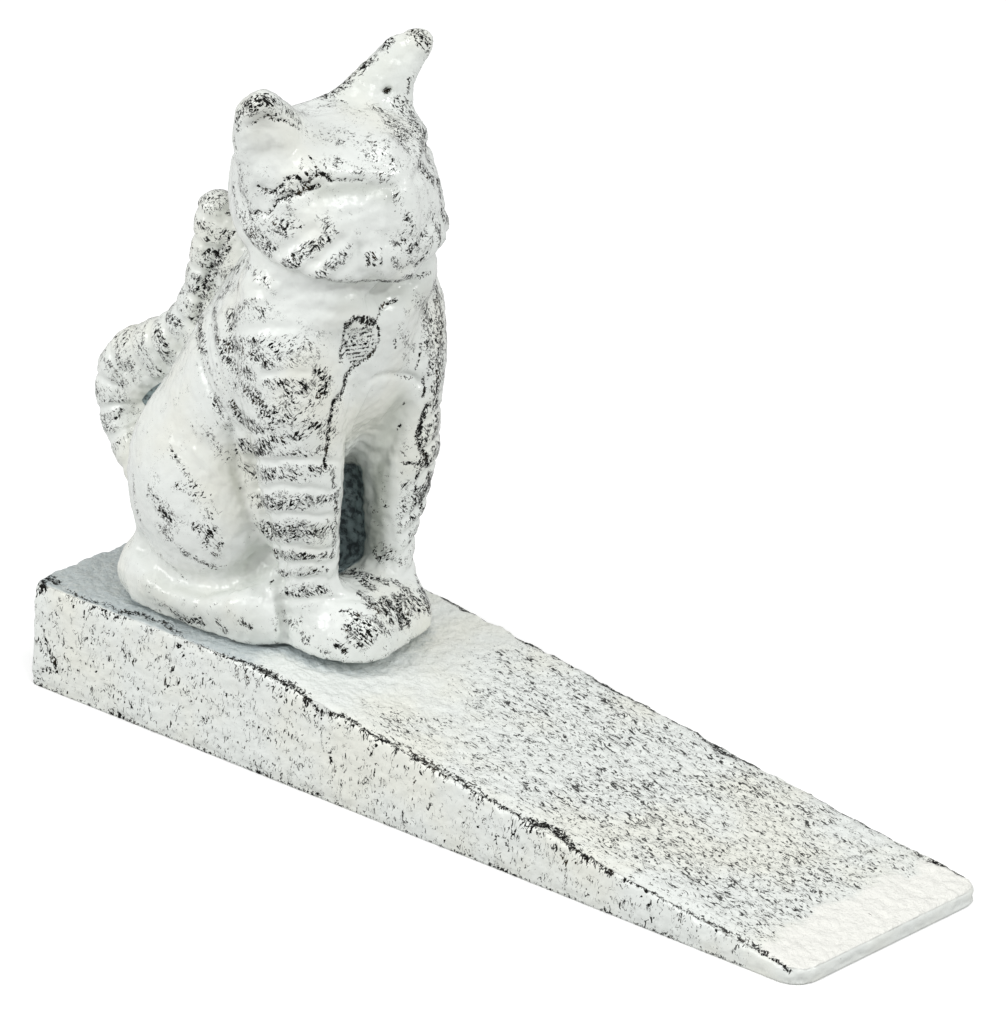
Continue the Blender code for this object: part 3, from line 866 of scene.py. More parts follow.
def carve_forelegs(skin):
    """Grooves round the legs' outer sides, ahead of the line where each leg leaves the flank."""
    points = local(skin.points)
    x, y, z = points.T
    height = photo_height(points) + skin.grain(FORELEG_SWAY) + skin.grain(FORELEG_SHAKE)
    on_leg = smooth_step(FORELEG_EDGE, x + FORELEG_EDGE_LEAN * height)
    on_leg *= smooth_step(FORELEG_SIDE, np.abs(y))
    on_leg *= smooth_step(FORELEG_FACING, skin.normals[:, 1] * np.sign(y))
    on_leg *= smooth_step(FORELEG_HEIGHT, z)
    for row in FORELEG_GROOVES:
        groove = bell(height - (ROW_ORIGIN - row) / ROWS_PER_MM, FORELEG_GROOVE_WIDTH) * on_leg
        skin.lift -= FORELEG_GROOVE_DEPTH * groove
        skin.kept += FORELEG_GROOVE_PAINT * groove


def along_line(points, line):
    """How far along a line in the cat's middle plane each point lies, and how far from it."""
    line = np.array(line)
    flat = points[:, [0, 2]]
    best = np.full(len(points), np.inf)
    place = np.zeros(len(points))
    start = 0.0
    for a, b in zip(line, line[1:]):
        length = np.linalg.norm(b - a)
        t = np.clip((flat - a) @ (b - a) / length**2, 0, 1)
        apart = np.linalg.norm(flat - (a + t[:, None] * (b - a)), axis=1)
        closer = apart < best
        best[closer] = apart[closer]
        place[closer] = start + t[closer] * length
        start += length
    return place, np.hypot(best, points[:, 1])


def carve_tail(skin):
    """Rings cut round the tail at even steps, and wear between them."""
    place, apart = along_line(local(skin.points), TAIL_LINE)
    on_tail = smooth_step(TAIL_REACH, apart) * smooth_step(TAIL_START, place)
    phase = (place / TAIL_RING_SPACING + 0.5) % 1 - 0.5
    groove = bell(phase * TAIL_RING_SPACING, TAIL_GROOVE_WIDTH) * on_tail
    skin.lift -= TAIL_GROOVE_DEPTH * groove
    skin.wear = np.maximum(skin.wear, TAIL_WEAR * on_tail)
    skin.kept += TAIL_GROOVE_PAINT * groove


def carve_fur(skin):
    """Fine lines side by side, down the back and over the cheek."""
    for fur in FURS:
        right, down = fur.step
        for i in range(fur.count):
            line = [(x + i * right, y + i * down) for x, y in pixels(fur.path)]
            skin.carve([Stroke(line, FUR_WIDTH, -FUR_DEPTH, 0.0, fur.line)])


def carve_tag(skin):
    """The hatched oval on the chest."""
    middle = (TAG_TOP + TAG_BOTTOM) / 2
    half = (TAG_BOTTOM - TAG_TOP) / 2
    for row in TAG_ROWS:
        reach = TAG_HALF_WIDTH * math.sqrt(1 - ((row - middle) / half) ** 2) * TAG_FILL
        line = [(TAG_MIDDLE - reach, row + TAG_RISE[0]), (TAG_MIDDLE + reach, row + TAG_RISE[1])]
        skin.carve([TAG_ROW._replace(pixels=line)], both_sides=False)


def carve_cat(skin):
    """All the carving, in passes: each lies on the settled skin of the one before."""
    skin.carve(NEAR_EAR, both_sides=False)
    skin.settle()
    skin.soften(NEAR_EAR_SOFT, EAR_SOFTENING)
    skin.carve(EYES + CHEEKS + JAW + BACK + HAUNCH)
    skin.carve(NEAR_EAR_MARKS + FAR_EAR + CHEST, both_sides=False)
    skin.carve(FLANK_GROOVES)
    carve_forelegs(skin)
    carve_tail(skin)
    skin.settle()
    skin.carve(BELLY + FAR_LEG + [PINHOLE], both_sides=False)
    carve_tag(skin)
    carve_fur(skin)
    skin.carve(FLANK_WEAR + FORELEG_WEAR + PAWS + TAIL_WEAR_STROKES)
    skin.carve(FACE_WEAR, both_sides=False)
    skin.settle()


def bare_iron(skin, shelter):
    """Where the cat was never painted: deep in the pocket and in the tail's loop."""
    x, y, z = local(skin.points).T
    pocket = smooth_step(POCKET_FRONT, x) * smooth_step(POCKET_REAR, x)
    pocket *= smooth_step(POCKET_SIDE, np.abs(y)) * smooth_step(POCKET_TOP, z)
    pocket *= smooth_step(POCKET_SHELTER, shelter)
    from_middle = np.hypot(x - TAIL_SHEET_MIDDLE[0], z - TAIL_SHEET_MIDDLE[1])
    sheet = smooth_step(TAIL_SHEET_RADIUS, from_middle) * smooth_step(TAIL_SHEET_SIDE, np.abs(y))
    return np.maximum(pocket, sheet)


def wear_cat(skin, shelter):
    """Adds wear all over and where the skin stands out, and takes it from what is sheltered."""
    unseen = smooth_step(UNSEEN_FACING, skin.normals @ np.array(UNSEEN_WAY))
    skin.wear = np.maximum(skin.wear, CAT_WEAR + UNSEEN_WEAR * unseen)
    skin.wear += np.clip(skin.bulge(BULGE_PASSES) * BULGE_WEAR - BULGE_START, 0, BULGE_MOST)
    skin.wear = (skin.wear - skin.kept) * (1 - SHELTER_KEEPS * smooth_step(SHELTER_DEEP, shelter))


def roughen_cat(skin, shelter):
    """Gives the cat its cast surface, for finish to settle."""
    sand_depth = CAT_SAND_DEPTH + HOLLOW_SAND_DEPTH * smooth_step(HOLLOWS, shelter)
    near_foot = smooth_step(FOOT_HEIGHT, local(skin.points)[:, 2])
    skin.lift += skin.grain(CAT_SWELL)
    skin.lift += skin.grain(CAT_SAND) * sand_depth
    skin.lift += skin.grain(FOOT_RUNS) * near_foot


def make_cat(frame):
    skin = Skin(frame["nodes"]["cat"], "cat_casting", CAT_VOXEL, rounding=True)
    carve_cat(skin)
    shelter = skin.shelter(SHELTER_REACH)
    bare = bare_iron(skin, shelter)
    # Painted shade: darker paint where the skin is sheltered and under the shade strokes
    grime = np.maximum(shelter - SHELTER_UNSHADED, skin.covered(PAINTED_SHADE_STROKES))
    wear_cat(skin, shelter)
    roughen_cat(skin, shelter)
    piece = skin.finish(wear=skin.wear, line=skin.line, grime=grime, bare=bare)
    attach(piece, "root")
    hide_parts("cat")
    return piece


# Wedge

# The dark line along the near top edge, heavier in some places than in others, and its copy on
# the far side
NEAR_EDGE = [
    cut("40,590 42,580 48,576 56,580", 1.2, 0.2, 0.9, 0.9),
    worn("46,642 51,655 55,672 44,668", 0.8, 0.9, 0.7),
    cut("60,582 75,591 89,598 102,601 118,607", 0.65, 0.2, 0.62, 0.66),
    cut("118,607 131,611 144,613 151,617 164,622 179,631", 0.8, 0.2, 0.75, 0.78),
    worn("188,638 200,644 211,649", 0.7, 0.5, 0.6),
    cut("213,653 226,656 239,658 257,666", 0.9, 0.2, 0.7, 0.75),
    cut("257,666 275,675 290,682", 1.4, 0.25, 0.9, 0.9),
    cut("290,682 304,693 304,704", 1.1, 0.2, 0.8, 0.85),
    cut("304,695 319,713 340,712", 0.9, 0.2, 0.7, 0.75),
    cut("340,712 360,724 380,738 400,742", 1.0, 0.2, 0.8, 0.8),
    raised("402,754", 0.9, 0.2, -0.9),
    cut("408,752 424,759 440,768 456,776 474,788", 1.4, 0.2, 0.9, 0.7),
    cut("474,788 496,802 512,810 530,818", 1.0, 0.2, 0.8, 0.75),
    cut("530,818 556,828 568,840 586,858", 1.4, 0.25, 1.0, 0.86),
    cut("586,858 597,866 608,873", 1.0, 0.2, 0.8, 0.8),
    worn("608,872", 1.2, 0.9, 0.95),
    cut("622,880 652,892 684,908 716,924", 1.0, 0.2, 0.7, 0.66),
    cut("716,924 736,934 754,943", 1.0, 0.1, 0.75, 0.6),
    cut("754,943 765,952", 0.9, 0.3, 0.8, 0.95),
    cut("771,956 780,962 788,971", 0.8, 0.3, 0.6, 0.95),
]

# The wedge's own sizes, as in its CAD
TIP_HEIGHT = 2.9
LEVEL_LENGTH = 51.6

# How far a normal points up on the top, and how far it lies level on the sides
TOP_FACING = (0.6, 0.9)
SIDE_FACING = (0.2, 0.5)

# Noise that makes its wear and edges uneven, over short and long stretches and at the tip
WEDGE_UNEVEN = Grain(7.0, 1.0, 17)
WEDGE_BROAD = Grain(16.0, 1.0, 29)
TIP_WANDER = Grain(5.0, 3.0, 3)

# Where parts of the wedge begin and are whole: the tip's clean band, in from the thin end; the
# rim, the worn inside and the rear corners, in from the side; the worn slope and the rear with
# painted shade, along X; and what is clear of the floor, above it
TIP_BAND = (12.5, 9.5)
RIM = (3.0, 1.5)
INSIDE = (0.5, 5.0)
CORNER = (1.8, 0.6)
SLOPE = (-30.0, 2.0)
SLOPE_SWAY = 10.0
REAR = (-22.0, -40.0)
REAR_SWAY = 3.0
CLEAR = (0.1, 0.6)

# Wear on its faces, and how far it sways
LEVEL_WEAR = 0.05
SLOPE_WEAR = 0.48
SLOPE_WEAR_SWAY = 0.1
SLOPE_EDGE_SHARE = 0.6
SIDE_WEAR = 0.42
SIDE_WEAR_SWAY = 0.08
PAWS_X = -16.0
PAWS_RADIUS = 12.0
PAWS_KEEP = 0.2

# A band beside an edge: how far from the edge its middle is, its half width, and how dark or how
# worn it is
Band = namedtuple("Band", "inward width strength")
TOP_LINE = Band(0.5, 0.6, 1.0)
TOP_LINE_SWAY = 0.5
TOP_WEAR = Band(0.8, 1.4, 0.3)
CORNER_LINE = Band(0.0, 0.8, 0.95)
# The dark line round the bottom lip is painted contact shadow
LIP_SHADOW_LINE = Band(0.3, 0.5, 1.0)
LIP_SHADOW_DARK = 0.66
LIP_SHADOW_SWAY = 0.35

# The top's line and wear are stronger in patches of the noise
PATCHY_LEAST = 0.3
PATCHY_MORE = 0.35
PATCHY_NOISE = (-0.3, 0.3)
PATCHY_UNEVEN = 0.4

# Its cast surface: the ragged long edges, a slow swell, and sand that is deeper on the top and
# sinks in as far as it stands out
TOP_RAGGED_WIDTH = 2.0
LIP_RAGGED_WIDTH = 1.5
RAGGED_DEPTH = 0.3
WEDGE_SWELL = Grain(6.0, 0.14, 5)
WEDGE_SAND = Grain(1.5, 1.0, 31, (0.8, 1, 1))
WEDGE_SAND_DEPTH = 0.2
TOP_SAND_DEPTH = 0.12
SAND_SINK = 0.15

# Painted shade on the top: how far it reaches from the cat, and how strong it is at the rear
FOOT_SHADE = 2.6
FOOT_SHADE_REACH = 7.8
REAR_SHADE = 0.9


class WedgeSkin(Skin):
    """The wedge's skin, and how each of its points lies on the wedge."""

    def __init__(self, node):
        super().__init__(node, "wedge_casting", WEDGE_VOXEL, rounding=False)
        low, high = (np.array(corner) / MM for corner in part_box("wedge"))
        crest = low[0] + LEVEL_LENGTH
        self.x, self.y, self.z = self.points.T
        self.from_rear = self.x - low[0]
        self.from_side = high[1] - np.abs(self.y)
        slope = np.clip((self.x - crest) / (high[0] - crest), 0, 1)
        self.below_top = high[2] + (TIP_HEIGHT - high[2]) * slope - self.z
        self.upward = smooth_step(TOP_FACING, self.normals[:, 2])
        level = np.hypot(self.normals[:, 0], self.normals[:, 1])
        self.outside = (1 - self.upward) * smooth_step(SIDE_FACING, level)
        self.uneven = self.grain(WEDGE_UNEVEN)
        self.broad = self.grain(WEDGE_BROAD)
        self.tip = smooth_step(TIP_BAND, high[0] - self.x - self.grain(TIP_WANDER))
        self.rim = smooth_step(RIM, self.from_side) * (1 - self.tip)


def strength_of(band, distance):
    """How strong a band is at each distance from its edge."""
    return band.strength * bell(distance - band.inward, band.width)


def wear_faces(skin):
    """Wear on the sides and, past the cat, on the top: less beside the paws, none at the tip."""
    slope = smooth_step(SLOPE, skin.x + SLOPE_SWAY * skin.broad)
    slope *= SLOPE_WEAR + SLOPE_WEAR_SWAY * skin.broad
    slope *= SLOPE_EDGE_SHARE + (1 - SLOPE_EDGE_SHARE) * smooth_step(INSIDE, skin.from_side)
    at_paws = bell(np.hypot(skin.x - PAWS_X, skin.y), PAWS_RADIUS)
    top = skin.upward * (LEVEL_WEAR + slope - PAWS_KEEP * at_paws)
    side = skin.outside * (SIDE_WEAR + SIDE_WEAR_SWAY * skin.broad)
    skin.wear = np.maximum(skin.wear, (top + side) * (1 - skin.tip))


def line_edges(skin):
    """Dark lines along the top's long edges and down the rear corners, and round the bottom a dark
    line that paints its contact shadow.
    """
    skin.carve(NEAR_EDGE)
    patches = smooth_step(PATCHY_NOISE, skin.broad + PATCHY_UNEVEN * skin.uneven)
    patchy = (PATCHY_LEAST + PATCHY_MORE * patches) * skin.rim
    top = strength_of(TOP_LINE, skin.below_top - TOP_LINE_SWAY * skin.uneven) * patchy
    corner = strength_of(CORNER_LINE, skin.from_rear) * smooth_step(CORNER, skin.from_side)
    # Painted contact shadow: a dark line round the bottom lip
    lip_shadow = strength_of(LIP_SHADOW_LINE, skin.z) * (LIP_SHADOW_DARK + LIP_SHADOW_SWAY * skin.uneven)
    lip_shadow *= skin.outside * (1 - skin.tip)
    for line in (top, corner, lip_shadow):
        skin.line = np.maximum(skin.line, line)
    skin.wear += strength_of(TOP_WEAR, skin.below_top) * patchy


def roughen_wedge(skin):
    """Gives the wedge its ragged edges and cast surface, for finish to settle."""
    clear = smooth_step(CLEAR, skin.z)
    ragged = bell(skin.below_top, TOP_RAGGED_WIDTH) * skin.rim
    ragged += bell(skin.z, LIP_RAGGED_WIDTH) * skin.outside
    skin.lift -= RAGGED_DEPTH * (1 + skin.uneven) * np.clip(ragged, 0, 1) * clear
    sand = skin.grain(WEDGE_SAND) * (WEDGE_SAND_DEPTH + TOP_SAND_DEPTH * skin.upward) - SAND_SINK
    skin.lift += (skin.grain(WEDGE_SWELL) + sand) * clear


def foot_shade(skin, cat):
    """Painted shade in the corner round the cat's foot: how near each point of the top is to the
    cat.
    """
    tree = search_tree(cat.data)
    shade = np.zeros(len(skin.points))
    for i in np.nonzero(skin.upward)[0]:
        distance = tree.find_nearest(Vector(skin.points[i]), FOOT_SHADE_REACH)[3]
        if distance is not None:
            shade[i] = bell(distance, FOOT_SHADE)
    return shade


def make_wedge(frame, cat):
    skin = WedgeSkin(frame["nodes"]["wedge"])
    wear_faces(skin)
    line_edges(skin)
    roughen_wedge(skin)
    wear = skin.wear - skin.kept
    # Painted shade over the rear of the top and round the cat's foot
    rear = REAR_SHADE * smooth_step(REAR, skin.x + REAR_SWAY * skin.uneven)
    shade = np.maximum(foot_shade(skin, cat), rear) * skin.upward
    # A cream tip, whose top faces are also painted lighter as painted light
    clean = skin.tip * skin.upward
    piece = skin.finish(wear=wear, line=skin.line, top=skin.upward, shade=shade, clean=clean)
    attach(piece, "root")
    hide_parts("wedge")
    return piece


# Materials


class Nodes:
    """The node tree of a material or world, with short ways to add to it."""

    def __init__(self, owner):
        owner.use_nodes = True
        self.owner = owner
        self.tree = owner.node_tree

    def feed(self, node, inputs):
        """Gives a node's inputs, by name or number, their values or what is linked to them."""
        for name, value in inputs.items():
            if isinstance(value, bpy.types.NodeSocket):
                self.tree.links.new(value, node.inputs[name])
            else:
                node.inputs[name].default_value = value

    def add(self, kind, inputs, **settings):
        node = self.tree.nodes.new(kind)
        for name, value in settings.items():
            setattr(node, name, value)
        self.feed(node, inputs)
        return node

    def finish(self, **inputs):
        """Feeds the shader's inputs, which are named in lower case, and gives the material."""
        inputs = {name.replace("_", " ").title(): value for name, value in inputs.items()}
        self.feed(self.tree.nodes["Principled BSDF"], inputs)
        return self.owner

    def math(self, operation, *values, clamp=False):
        inputs = dict(enumerate(values))
        return self.add("ShaderNodeMath", inputs, operation=operation, use_clamp=clamp).outputs[0]

    def span(self, value, limits, to=(0.0, 1.0)):
        """Value carried smoothly from one pair of limits to another."""
        inputs = dict(enumerate((value, *limits, *to)))
        return self.add("ShaderNodeMapRange", inputs, interpolation_type="SMOOTHSTEP").outputs[0]

    def over(self, value, limit, edge, most=1.0):
        """Most where value passes limit by edge or more, and 0 where it doesn't reach it."""
        return self.span(self.math("SUBTRACT", value, limit), (0.0, edge), (0.0, most))

    def mark(self, name):
        return self.add("ShaderNodeAttribute", {}, attribute_name=name).outputs["Fac"]

    def place(self, along=(0, 0, 1), stretch=1.0):
        """The surface's place in millimetres, drawn out stretch times in the direction along."""
        inputs = {
            "Vector": self.add("ShaderNodeTexCoord", {}).outputs["Object"],
            "Rotation": Vector(along).to_track_quat("Z", "Y").to_euler(),
            "Scale": (MM, MM, MM * stretch),
        }
        return self.add("ShaderNodeMapping", inputs, vector_type="TEXTURE").outputs[0]

    def noise(self, place, spacing, detail=3.0, roughness=0.55, twist=0.0):
        inputs = {"Vector": place, "Scale": 1 / spacing, "Detail": detail}
        inputs |= {"Roughness": roughness, "Distortion": twist}
        return self.add("ShaderNodeTexNoise", inputs).outputs["Fac"]

    def blotches(self, place, blotch, to=(0.0, 1.0)):
        return self.span(self.noise(place, *blotch.noise), blotch.limits, to)

    def stirred(self, value, mottle, amount):
        """Value with a noise added to it, up to half of amount either way."""
        return self.math("MULTIPLY_ADD", self.math("SUBTRACT", mottle, 0.5), amount, value)

    def mix(self, share, a, b):
        """A mix of two colours, whose sockets come after those for numbers and vectors."""
        return self.add("ShaderNodeMix", {0: share, 6: a, 7: b}, data_type="RGBA").outputs[2]

    def bump(self, height, distance, share=1.0, under=None):
        inputs = {"Height": height, "Distance": distance * MM, "Strength": share}
        if under is not None:
            inputs["Normal"] = under
        return self.add("ShaderNodeBump", inputs).outputs[0]


PAINT = (0.79, 0.82, 0.79, 1)
PAINT_WARM = (0.80, 0.81, 0.74, 1)
# Painted shade on the cat, as thin greenish paint
PAINT_THIN_SHADE = (0.40, 0.43, 0.37, 1)
# The tip's cream paint, made lighter as painted light
PAINT_CREAM_LIT = (0.86, 0.86, 0.81, 1)
# Painted shade on the wedge's top
PAINT_SHADE_BLUE = (0.38, 0.44, 0.46, 1)
DUST = (0.36, 0.37, 0.34, 1)
IRON = (0.014, 0.014, 0.013, 1)
IRON_BROWN = (0.050, 0.040, 0.026, 1)
BARE_IRON = (0.26, 0.33, 0.335, 1)
BARE_IRON_DARK = (0.055, 0.072, 0.078, 1)

# A paint over iron: its brushes, how far its wear gathers in clumps, its least roughness, the
# height of the casting's pimples, and the function that adds what else its casting is marked with
Paint = namedtuple("Paint", "name brushes clumping roughness pimples marks")

# One way in which a dry brush has dragged over a casting: its direction, how many times longer
# than wide its flecks are, their spacing, how strong its hairs are, how far it wears the paint
# away, and the mark that limits it
Brush = namedtuple("Brush", "along stretch spacing hairs depth mark", defaults=(1.0, None))
CAT_BRUSHES = [Brush((1.0, 1.0, 1.3), 2.4, 0.4, 0.4), Brush((1.0, 1.0, -1.6), 2.4, 0.4, 0.4)]
WEDGE_BRUSHES = [
    Brush((0.1, 0.1, 1.0), 2.0, 0.66, 0.35),
    Brush((1.0, -0.1, -0.12), 3.4, 0.46, 0.45, 0.9, "top"),
]

# Blots, curls and hairs of dark iron: the wear over which they grow, their noise, and how soft
# their edges are. Blots and hairs grow as a limit for their noise falls, and curls by getting
# thicker. Curls are larger than blots, and have gaps.
BLOT_WEAR = (0.0, 0.92)
BLOT_LIMIT = (0.78, 0.50)
BLOT_NOISE = (2.0, 0.6, 0.6)
BLOT_EDGE = 0.02
CURL_WEAR = (0.1, 0.8)
CURL_THICKNESS = (0.0, 0.04)
CURL_NOISE = (2.0, 0.55, 1.2)
CURL_EDGE = 0.012
CURL_SIZE = 2
CURL_GAPS = (0.50, 0.54)
CURL_GAP_DETAIL = 2.0
HAIR_WEAR = (0.05, 0.85)
HAIR_LIMIT = (0.82, 0.58)
HAIR_NOISE = (0.34, 1.0, 0.5)
HAIR_STRETCH = 6.0
HAIR_EDGE = 0.05

# Blotches in a material: a noise's spacing and, where they differ from the usual, its detail,
# roughness and twist, and the limits that it runs between
Blotch = namedtuple("Blotch", "noise limits")
BRUSH_PATCHES = Blotch((7.0, 1.0), (0.46, 0.54))
RAGGED_LINES = Blotch((0.5, 3.0, 0.65, 0.8), (0.32, 0.68))
WARM_TONES = Blotch((22.0,), (0.42, 0.66))
SMUDGES = Blotch((1.1, 4.0, 0.7), (0.52, 0.8))
RUST = Blotch((3.0, 2.0), (0.55, 0.72))
SHEEN = Blotch((6.0,), (0.35, 0.7))
ZINC_MOTTLE = Blotch((1.2, 4.0, 0.6), (0.35, 0.7))

# The rest of a paint: its clumps of wear, how strong a mark of a line has to be to show, dust on
# what is worn, how much duller some places are and bare iron is, the casting's pimples, and the
# step from paint down to iron
CLUMP_SPACING = 2.6
LINE_LIMIT = (1.06, 0.34)
LINE_EDGE = 0.12
DUST_SHARE = 0.12
SHEEN_SPREAD = 0.12
IRON_ROUGHNESS = 0.3
PIMPLE_NOISE = (1.1, 3.0, 0.6)
PAINT_STEP = 0.05
PAINT_STEP_SHARE = 0.6


def flecks(nodes, place, brush, wanted):
    """Where the paint is rubbed through: blots, and curls round the casting's pimples, thicker
    together where more wear is wanted."""
    drawn = nodes.place(brush.along, brush.stretch)
    grain = nodes.noise(drawn, brush.spacing, *BLOT_NOISE)
    blots = nodes.over(grain, nodes.span(wanted, BLOT_WEAR, BLOT_LIMIT), BLOT_EDGE)
    wide = brush.spacing * CURL_SIZE
    contour = nodes.math("SUBTRACT", nodes.noise(drawn, wide, *CURL_NOISE), 0.5)
    contour = nodes.math("ABSOLUTE", contour)
    curls = nodes.over(nodes.span(wanted, CURL_WEAR, CURL_THICKNESS), contour, CURL_EDGE)
    broken = nodes.span(nodes.noise(place, wide, CURL_GAP_DETAIL), CURL_GAPS)
    return nodes.math("MAXIMUM", blots, nodes.math("MULTIPLY", curls, broken))


def hairs(nodes, brush, wanted):
    """Fine parallel strokes left by a dry brush."""
    fine = nodes.noise(nodes.place(brush.along, HAIR_STRETCH), *HAIR_NOISE)
    return nodes.over(fine, nodes.span(wanted, HAIR_WEAR, HAIR_LIMIT), HAIR_EDGE, brush.hairs)


def brushed(nodes, place, brushes, wanted):
    """How far the brushes have rubbed the paint off, each after the first in its own patches."""
    gone = None
    for brush in brushes:
        layer = flecks(nodes, place, brush, wanted)
        layer = nodes.math("MAXIMUM", layer, hairs(nodes, brush, wanted))
        layer = nodes.math("MULTIPLY", layer, brush.depth)
        if gone is None:
            gone = layer
        else:
            share = nodes.mark(brush.mark) if brush.mark else nodes.blotches(place, BRUSH_PATCHES)
            gone = nodes.math("MULTIPLY_ADD", nodes.math("SUBTRACT", layer, gone), share, gone)
    return gone


def whites(nodes, place, wear):
    """The paint's colour: white in two tones, with smudges of dust where it is worn."""
    paint = nodes.mix(nodes.blotches(place, WARM_TONES), PAINT, PAINT_WARM)
    dust = nodes.math("MULTIPLY", wear, DUST_SHARE, clamp=True)
    return nodes.mix(nodes.math("MULTIPLY", nodes.blotches(place, SMUDGES), dust), paint, DUST)


def painted_iron(paint):
    """White paint over cast iron, rubbed through by each of its brushes."""
    nodes = Nodes(bpy.data.materials.new(paint.name))
    place = nodes.place()
    wear = nodes.mark("wear")
    wanted = nodes.stirred(wear, nodes.noise(place, CLUMP_SPACING), paint.clumping)
    limit = nodes.blotches(place, RAGGED_LINES, LINE_LIMIT)
    lines = nodes.over(nodes.mark("line"), limit, LINE_EDGE)
    gone = nodes.math("MAXIMUM", brushed(nodes, place, paint.brushes, wanted), lines, clamp=True)
    colour, least_rough, rugged = paint.marks(nodes, place, whites(nodes, place, wear))
    iron = nodes.mix(nodes.blotches(place, RUST), IRON, IRON_BROWN)
    sheen = nodes.blotches(place, SHEEN, (paint.roughness, paint.roughness + SHEEN_SPREAD))
    rough = nodes.math("MAXIMUM", least_rough, sheen)
    rough = nodes.math("MULTIPLY_ADD", gone, IRON_ROUGHNESS, rough, clamp=True)
    pimples = nodes.math("MULTIPLY", nodes.noise(place, *PIMPLE_NOISE), rugged)
    covered = nodes.math("SUBTRACT", 1.0, gone)
    relief = nodes.bump(covered, PAINT_STEP, PAINT_STEP_SHARE, nodes.bump(pimples, paint.pimples))
    colour = nodes.mix(gone, colour, iron)
    return nodes.finish(base_color=colour, metallic=gone, roughness=rough, normal=relief)


# What else marks each casting. Each function takes the paint's colour, and gives the colour, the
# least roughness and how much of the pimples' height shows.

# The most that painted shade darkens the cat's paint
SHADE_MOST = 0.9
BARE_NOISE = (1.4, 4.0, 0.65)
BARE_TONES = (0.38, 0.60)
BARE_STIR = 0.6
BARE_EDGE = (0.35, 0.62)
BARE_ROUGHNESS = 0.62


def cat_marks(nodes, place, paint):
    """Painted shade as thin greenish paint where sheltered, and bare iron where the brush never
    reached.
    """
    shade_share = nodes.span(nodes.mark("grime"), (0.0, 1.0), (0.0, SHADE_MOST))
    paint = nodes.mix(shade_share, paint, PAINT_THIN_SHADE)
    mottle = nodes.noise(place, *BARE_NOISE)
    iron = nodes.mix(nodes.span(mottle, BARE_TONES), BARE_IRON_DARK, BARE_IRON)
    bare = nodes.span(nodes.stirred(nodes.mark("bare"), mottle, BARE_STIR), BARE_EDGE)
    return nodes.mix(bare, paint, iron), nodes.math("MULTIPLY", bare, BARE_ROUGHNESS), 1.0


# Painted shade on the wedge's top: its noise, how far that stirs it, where it starts and is whole,
# its most, and how much rougher it leaves the paint
CORNER_NOISE = (1.0, 4.0, 0.65)
CORNER_STIR = 0.8
CORNER_EDGE = (0.25, 1.1)
CORNER_MOST = 0.85
CORNER_ROUGHNESS = 0.3
SIDE_RUGGED = 0.3


def wedge_marks(nodes, place, paint):
    """Painted shade in the corner round the cat's foot and at the rear, and a cream tip whose top
    is painted lighter.
    """
    shade = nodes.stirred(nodes.mark("shade"), nodes.noise(place, *CORNER_NOISE), CORNER_STIR)
    grime = nodes.span(shade, CORNER_EDGE, (0.0, CORNER_MOST))
    # The tip's top turns cream and is painted lighter
    paint = nodes.mix(nodes.mark("clean"), paint, PAINT_CREAM_LIT)
    rough = nodes.math("MULTIPLY", grime, CORNER_ROUGHNESS)
    rugged = nodes.span(nodes.mark("top"), (0.0, 1.0), (SIDE_RUGGED, 1.0))
    return nodes.mix(grime, paint, PAINT_SHADE_BLUE), rough, rugged


CAT_PAINT = Paint("cat_paint", CAT_BRUSHES, 0.9, 0.13, 0.1, cat_marks)
WEDGE_PAINT = Paint("wedge_paint", WEDGE_BRUSHES, 0.6, 0.24, 0.5, wedge_marks)

SCREW_TONE = (0.55, 0.56, 0.57)
WASHER_TONE = (0.45, 0.46, 0.47)
ZINC_DARK = 0.72
ZINC_ROUGHNESS = (0.45, 0.28)
TURNING_STRETCH = 0.12
TURNING_NOISE = (0.5, 2.0)
TURNING_DEPTH = 0.02
TURNING_SHARE = 0.5


def zinc_steel(name, tone):
    """Zinc plate on steel, with the fine turning marks of a bar and a dull mottle."""
    nodes = Nodes(bpy.data.materials.new(name))
    mottle = nodes.blotches(nodes.place(), ZINC_MOTTLE)
    dark = [ZINC_DARK * value for value in tone]
    colour = nodes.mix(mottle, (*dark, 1), (*tone, 1))
    rough = nodes.span(mottle, (0.0, 1.0), ZINC_ROUGHNESS)
    turned = nodes.noise(nodes.place(stretch=TURNING_STRETCH), *TURNING_NOISE)
    relief = nodes.bump(turned, TURNING_DEPTH, TURNING_SHARE)
    return nodes.finish(base_color=colour, metallic=1.0, roughness=rough, normal=relief)


def paint_over(piece, material):
    piece.data.materials.clear()
    piece.data.materials.append(material)


# Stage

# The floor's half width in metres, its colours as the camera and as the object see it, how
# strongly it glows to the camera, and the strength of the world's light
FLOOR_HALF_WIDTH = 6.0
FLOOR_SEEN = (0.95, 0.95, 0.95, 1)
FLOOR_AROUND = (0.5, 0.5, 0.5, 1)
FLOOR_GLOW = 0.2
WORLD_LIGHT = 0.6

# Square soft lamps that face the cat: their directions from it, along the camera's right, up and
# back, their distances and sizes in metres, and their powers in watts
Lamp = namedtuple("Lamp", "name right up back distance size power")
LAMPS = [
    Lamp("key", 0.2, 0.6, 0.9, 1.2, 0.45, 3.0),
    Lamp("fill", -1.0, 0.4, 0.6, 1.4, 0.7, 8.3),
    Lamp("glint", 0.9, 0.5, 0.7, 1.2, 0.11, 3.5),
]


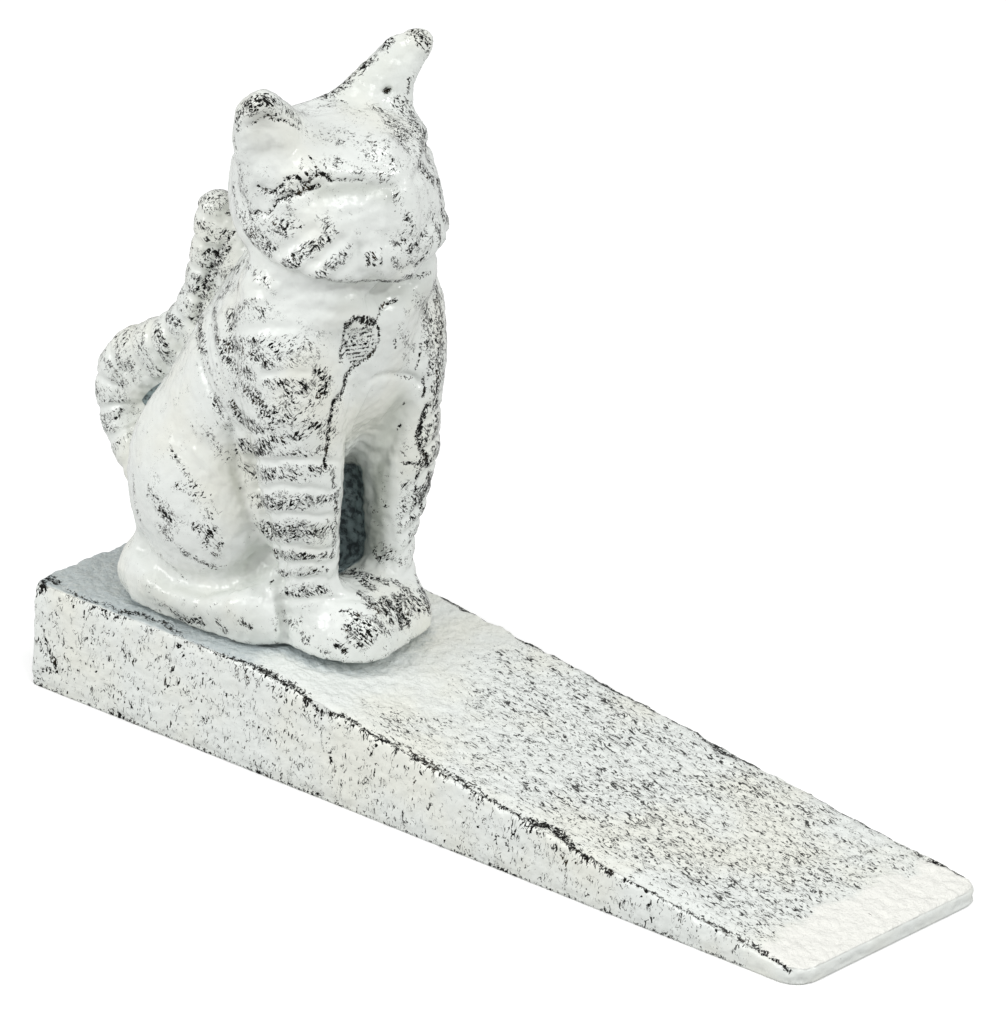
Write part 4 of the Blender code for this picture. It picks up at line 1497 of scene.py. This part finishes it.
def floor_material():
    """White as the camera sees it, apart from the shadow that lies on it."""
    nodes = Nodes(bpy.data.materials.new("floor_white"))
    rays = nodes.add("ShaderNodeLightPath", {}).outputs
    colour = nodes.mix(rays["Is Camera Ray"], FLOOR_AROUND, FLOOR_SEEN)
    seen = nodes.math("ADD", rays["Is Camera Ray"], rays["Is Glossy Ray"], clamp=True)
    diffuse = nodes.add("ShaderNodeBsdfDiffuse", {"Color": colour})
    strength = nodes.math("MULTIPLY", seen, FLOOR_GLOW)
    glow = nodes.add("ShaderNodeEmission", {"Strength": strength})
    both = nodes.add("ShaderNodeAddShader", {0: diffuse.outputs[0], 1: glow.outputs[0]})
    nodes.tree.nodes.remove(nodes.tree.nodes["Principled BSDF"])
    nodes.feed(nodes.tree.nodes["Material Output"], {"Surface": both.outputs[0]})
    return nodes.owner


def add_floor():
    bm = bmesh.new()
    bmesh.ops.create_grid(bm, x_segments=2, y_segments=2, size=FLOOR_HALF_WIDTH)
    mesh = bpy.data.meshes.new("floor")
    bm.to_mesh(mesh)
    bm.free()
    mesh.materials.append(floor_material())
    floor = new_object("floor", mesh)


def add_world():
    """A white world, which lights the object less than the camera sees of it."""
    bpy.context.scene.world = bpy.data.worlds.new("studio")
    nodes = Nodes(bpy.context.scene.world)
    seen = nodes.add("ShaderNodeLightPath", {}).outputs["Is Camera Ray"]
    strength = nodes.span(seen, (0.0, 1.0), (WORLD_LIGHT, 1.0))
    nodes.feed(nodes.tree.nodes["Background"], {"Color": (1, 1, 1, 1), "Strength": strength})


def add_lamps():
    right, up, back = camera_axes()
    for lamp in LAMPS:
        data = bpy.data.lights.new(lamp.name, "AREA")
        data.shape = "SQUARE"
        data.size = lamp.size
        data.energy = lamp.power
        way = (back * lamp.back + right * lamp.right + up * lamp.up).normalized()
        place = Vector(CAMERA_TARGET) * MM + way * lamp.distance
        aim(new_object(lamp.name, data), place, way)


def main():
    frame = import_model()
    add_camera()
    cat = make_cat(frame)
    wedge = make_wedge(frame, cat)
    paint_over(cat, painted_iron(CAT_PAINT))
    paint_over(wedge, painted_iron(WEDGE_PAINT))
    screw_steel = zinc_steel("screw_steel", SCREW_TONE)
    washer_steel = zinc_steel("washer_steel", WASHER_TONE)
    for place in ("rear", "front"):
        paint_over(frame["nodes"]["screw_" + place], screw_steel)
        paint_over(frame["nodes"]["washer_" + place], washer_steel)
    add_floor()
    add_world()
    add_lamps()
    bpy.context.scene.view_settings.view_transform = "Standard"


main()
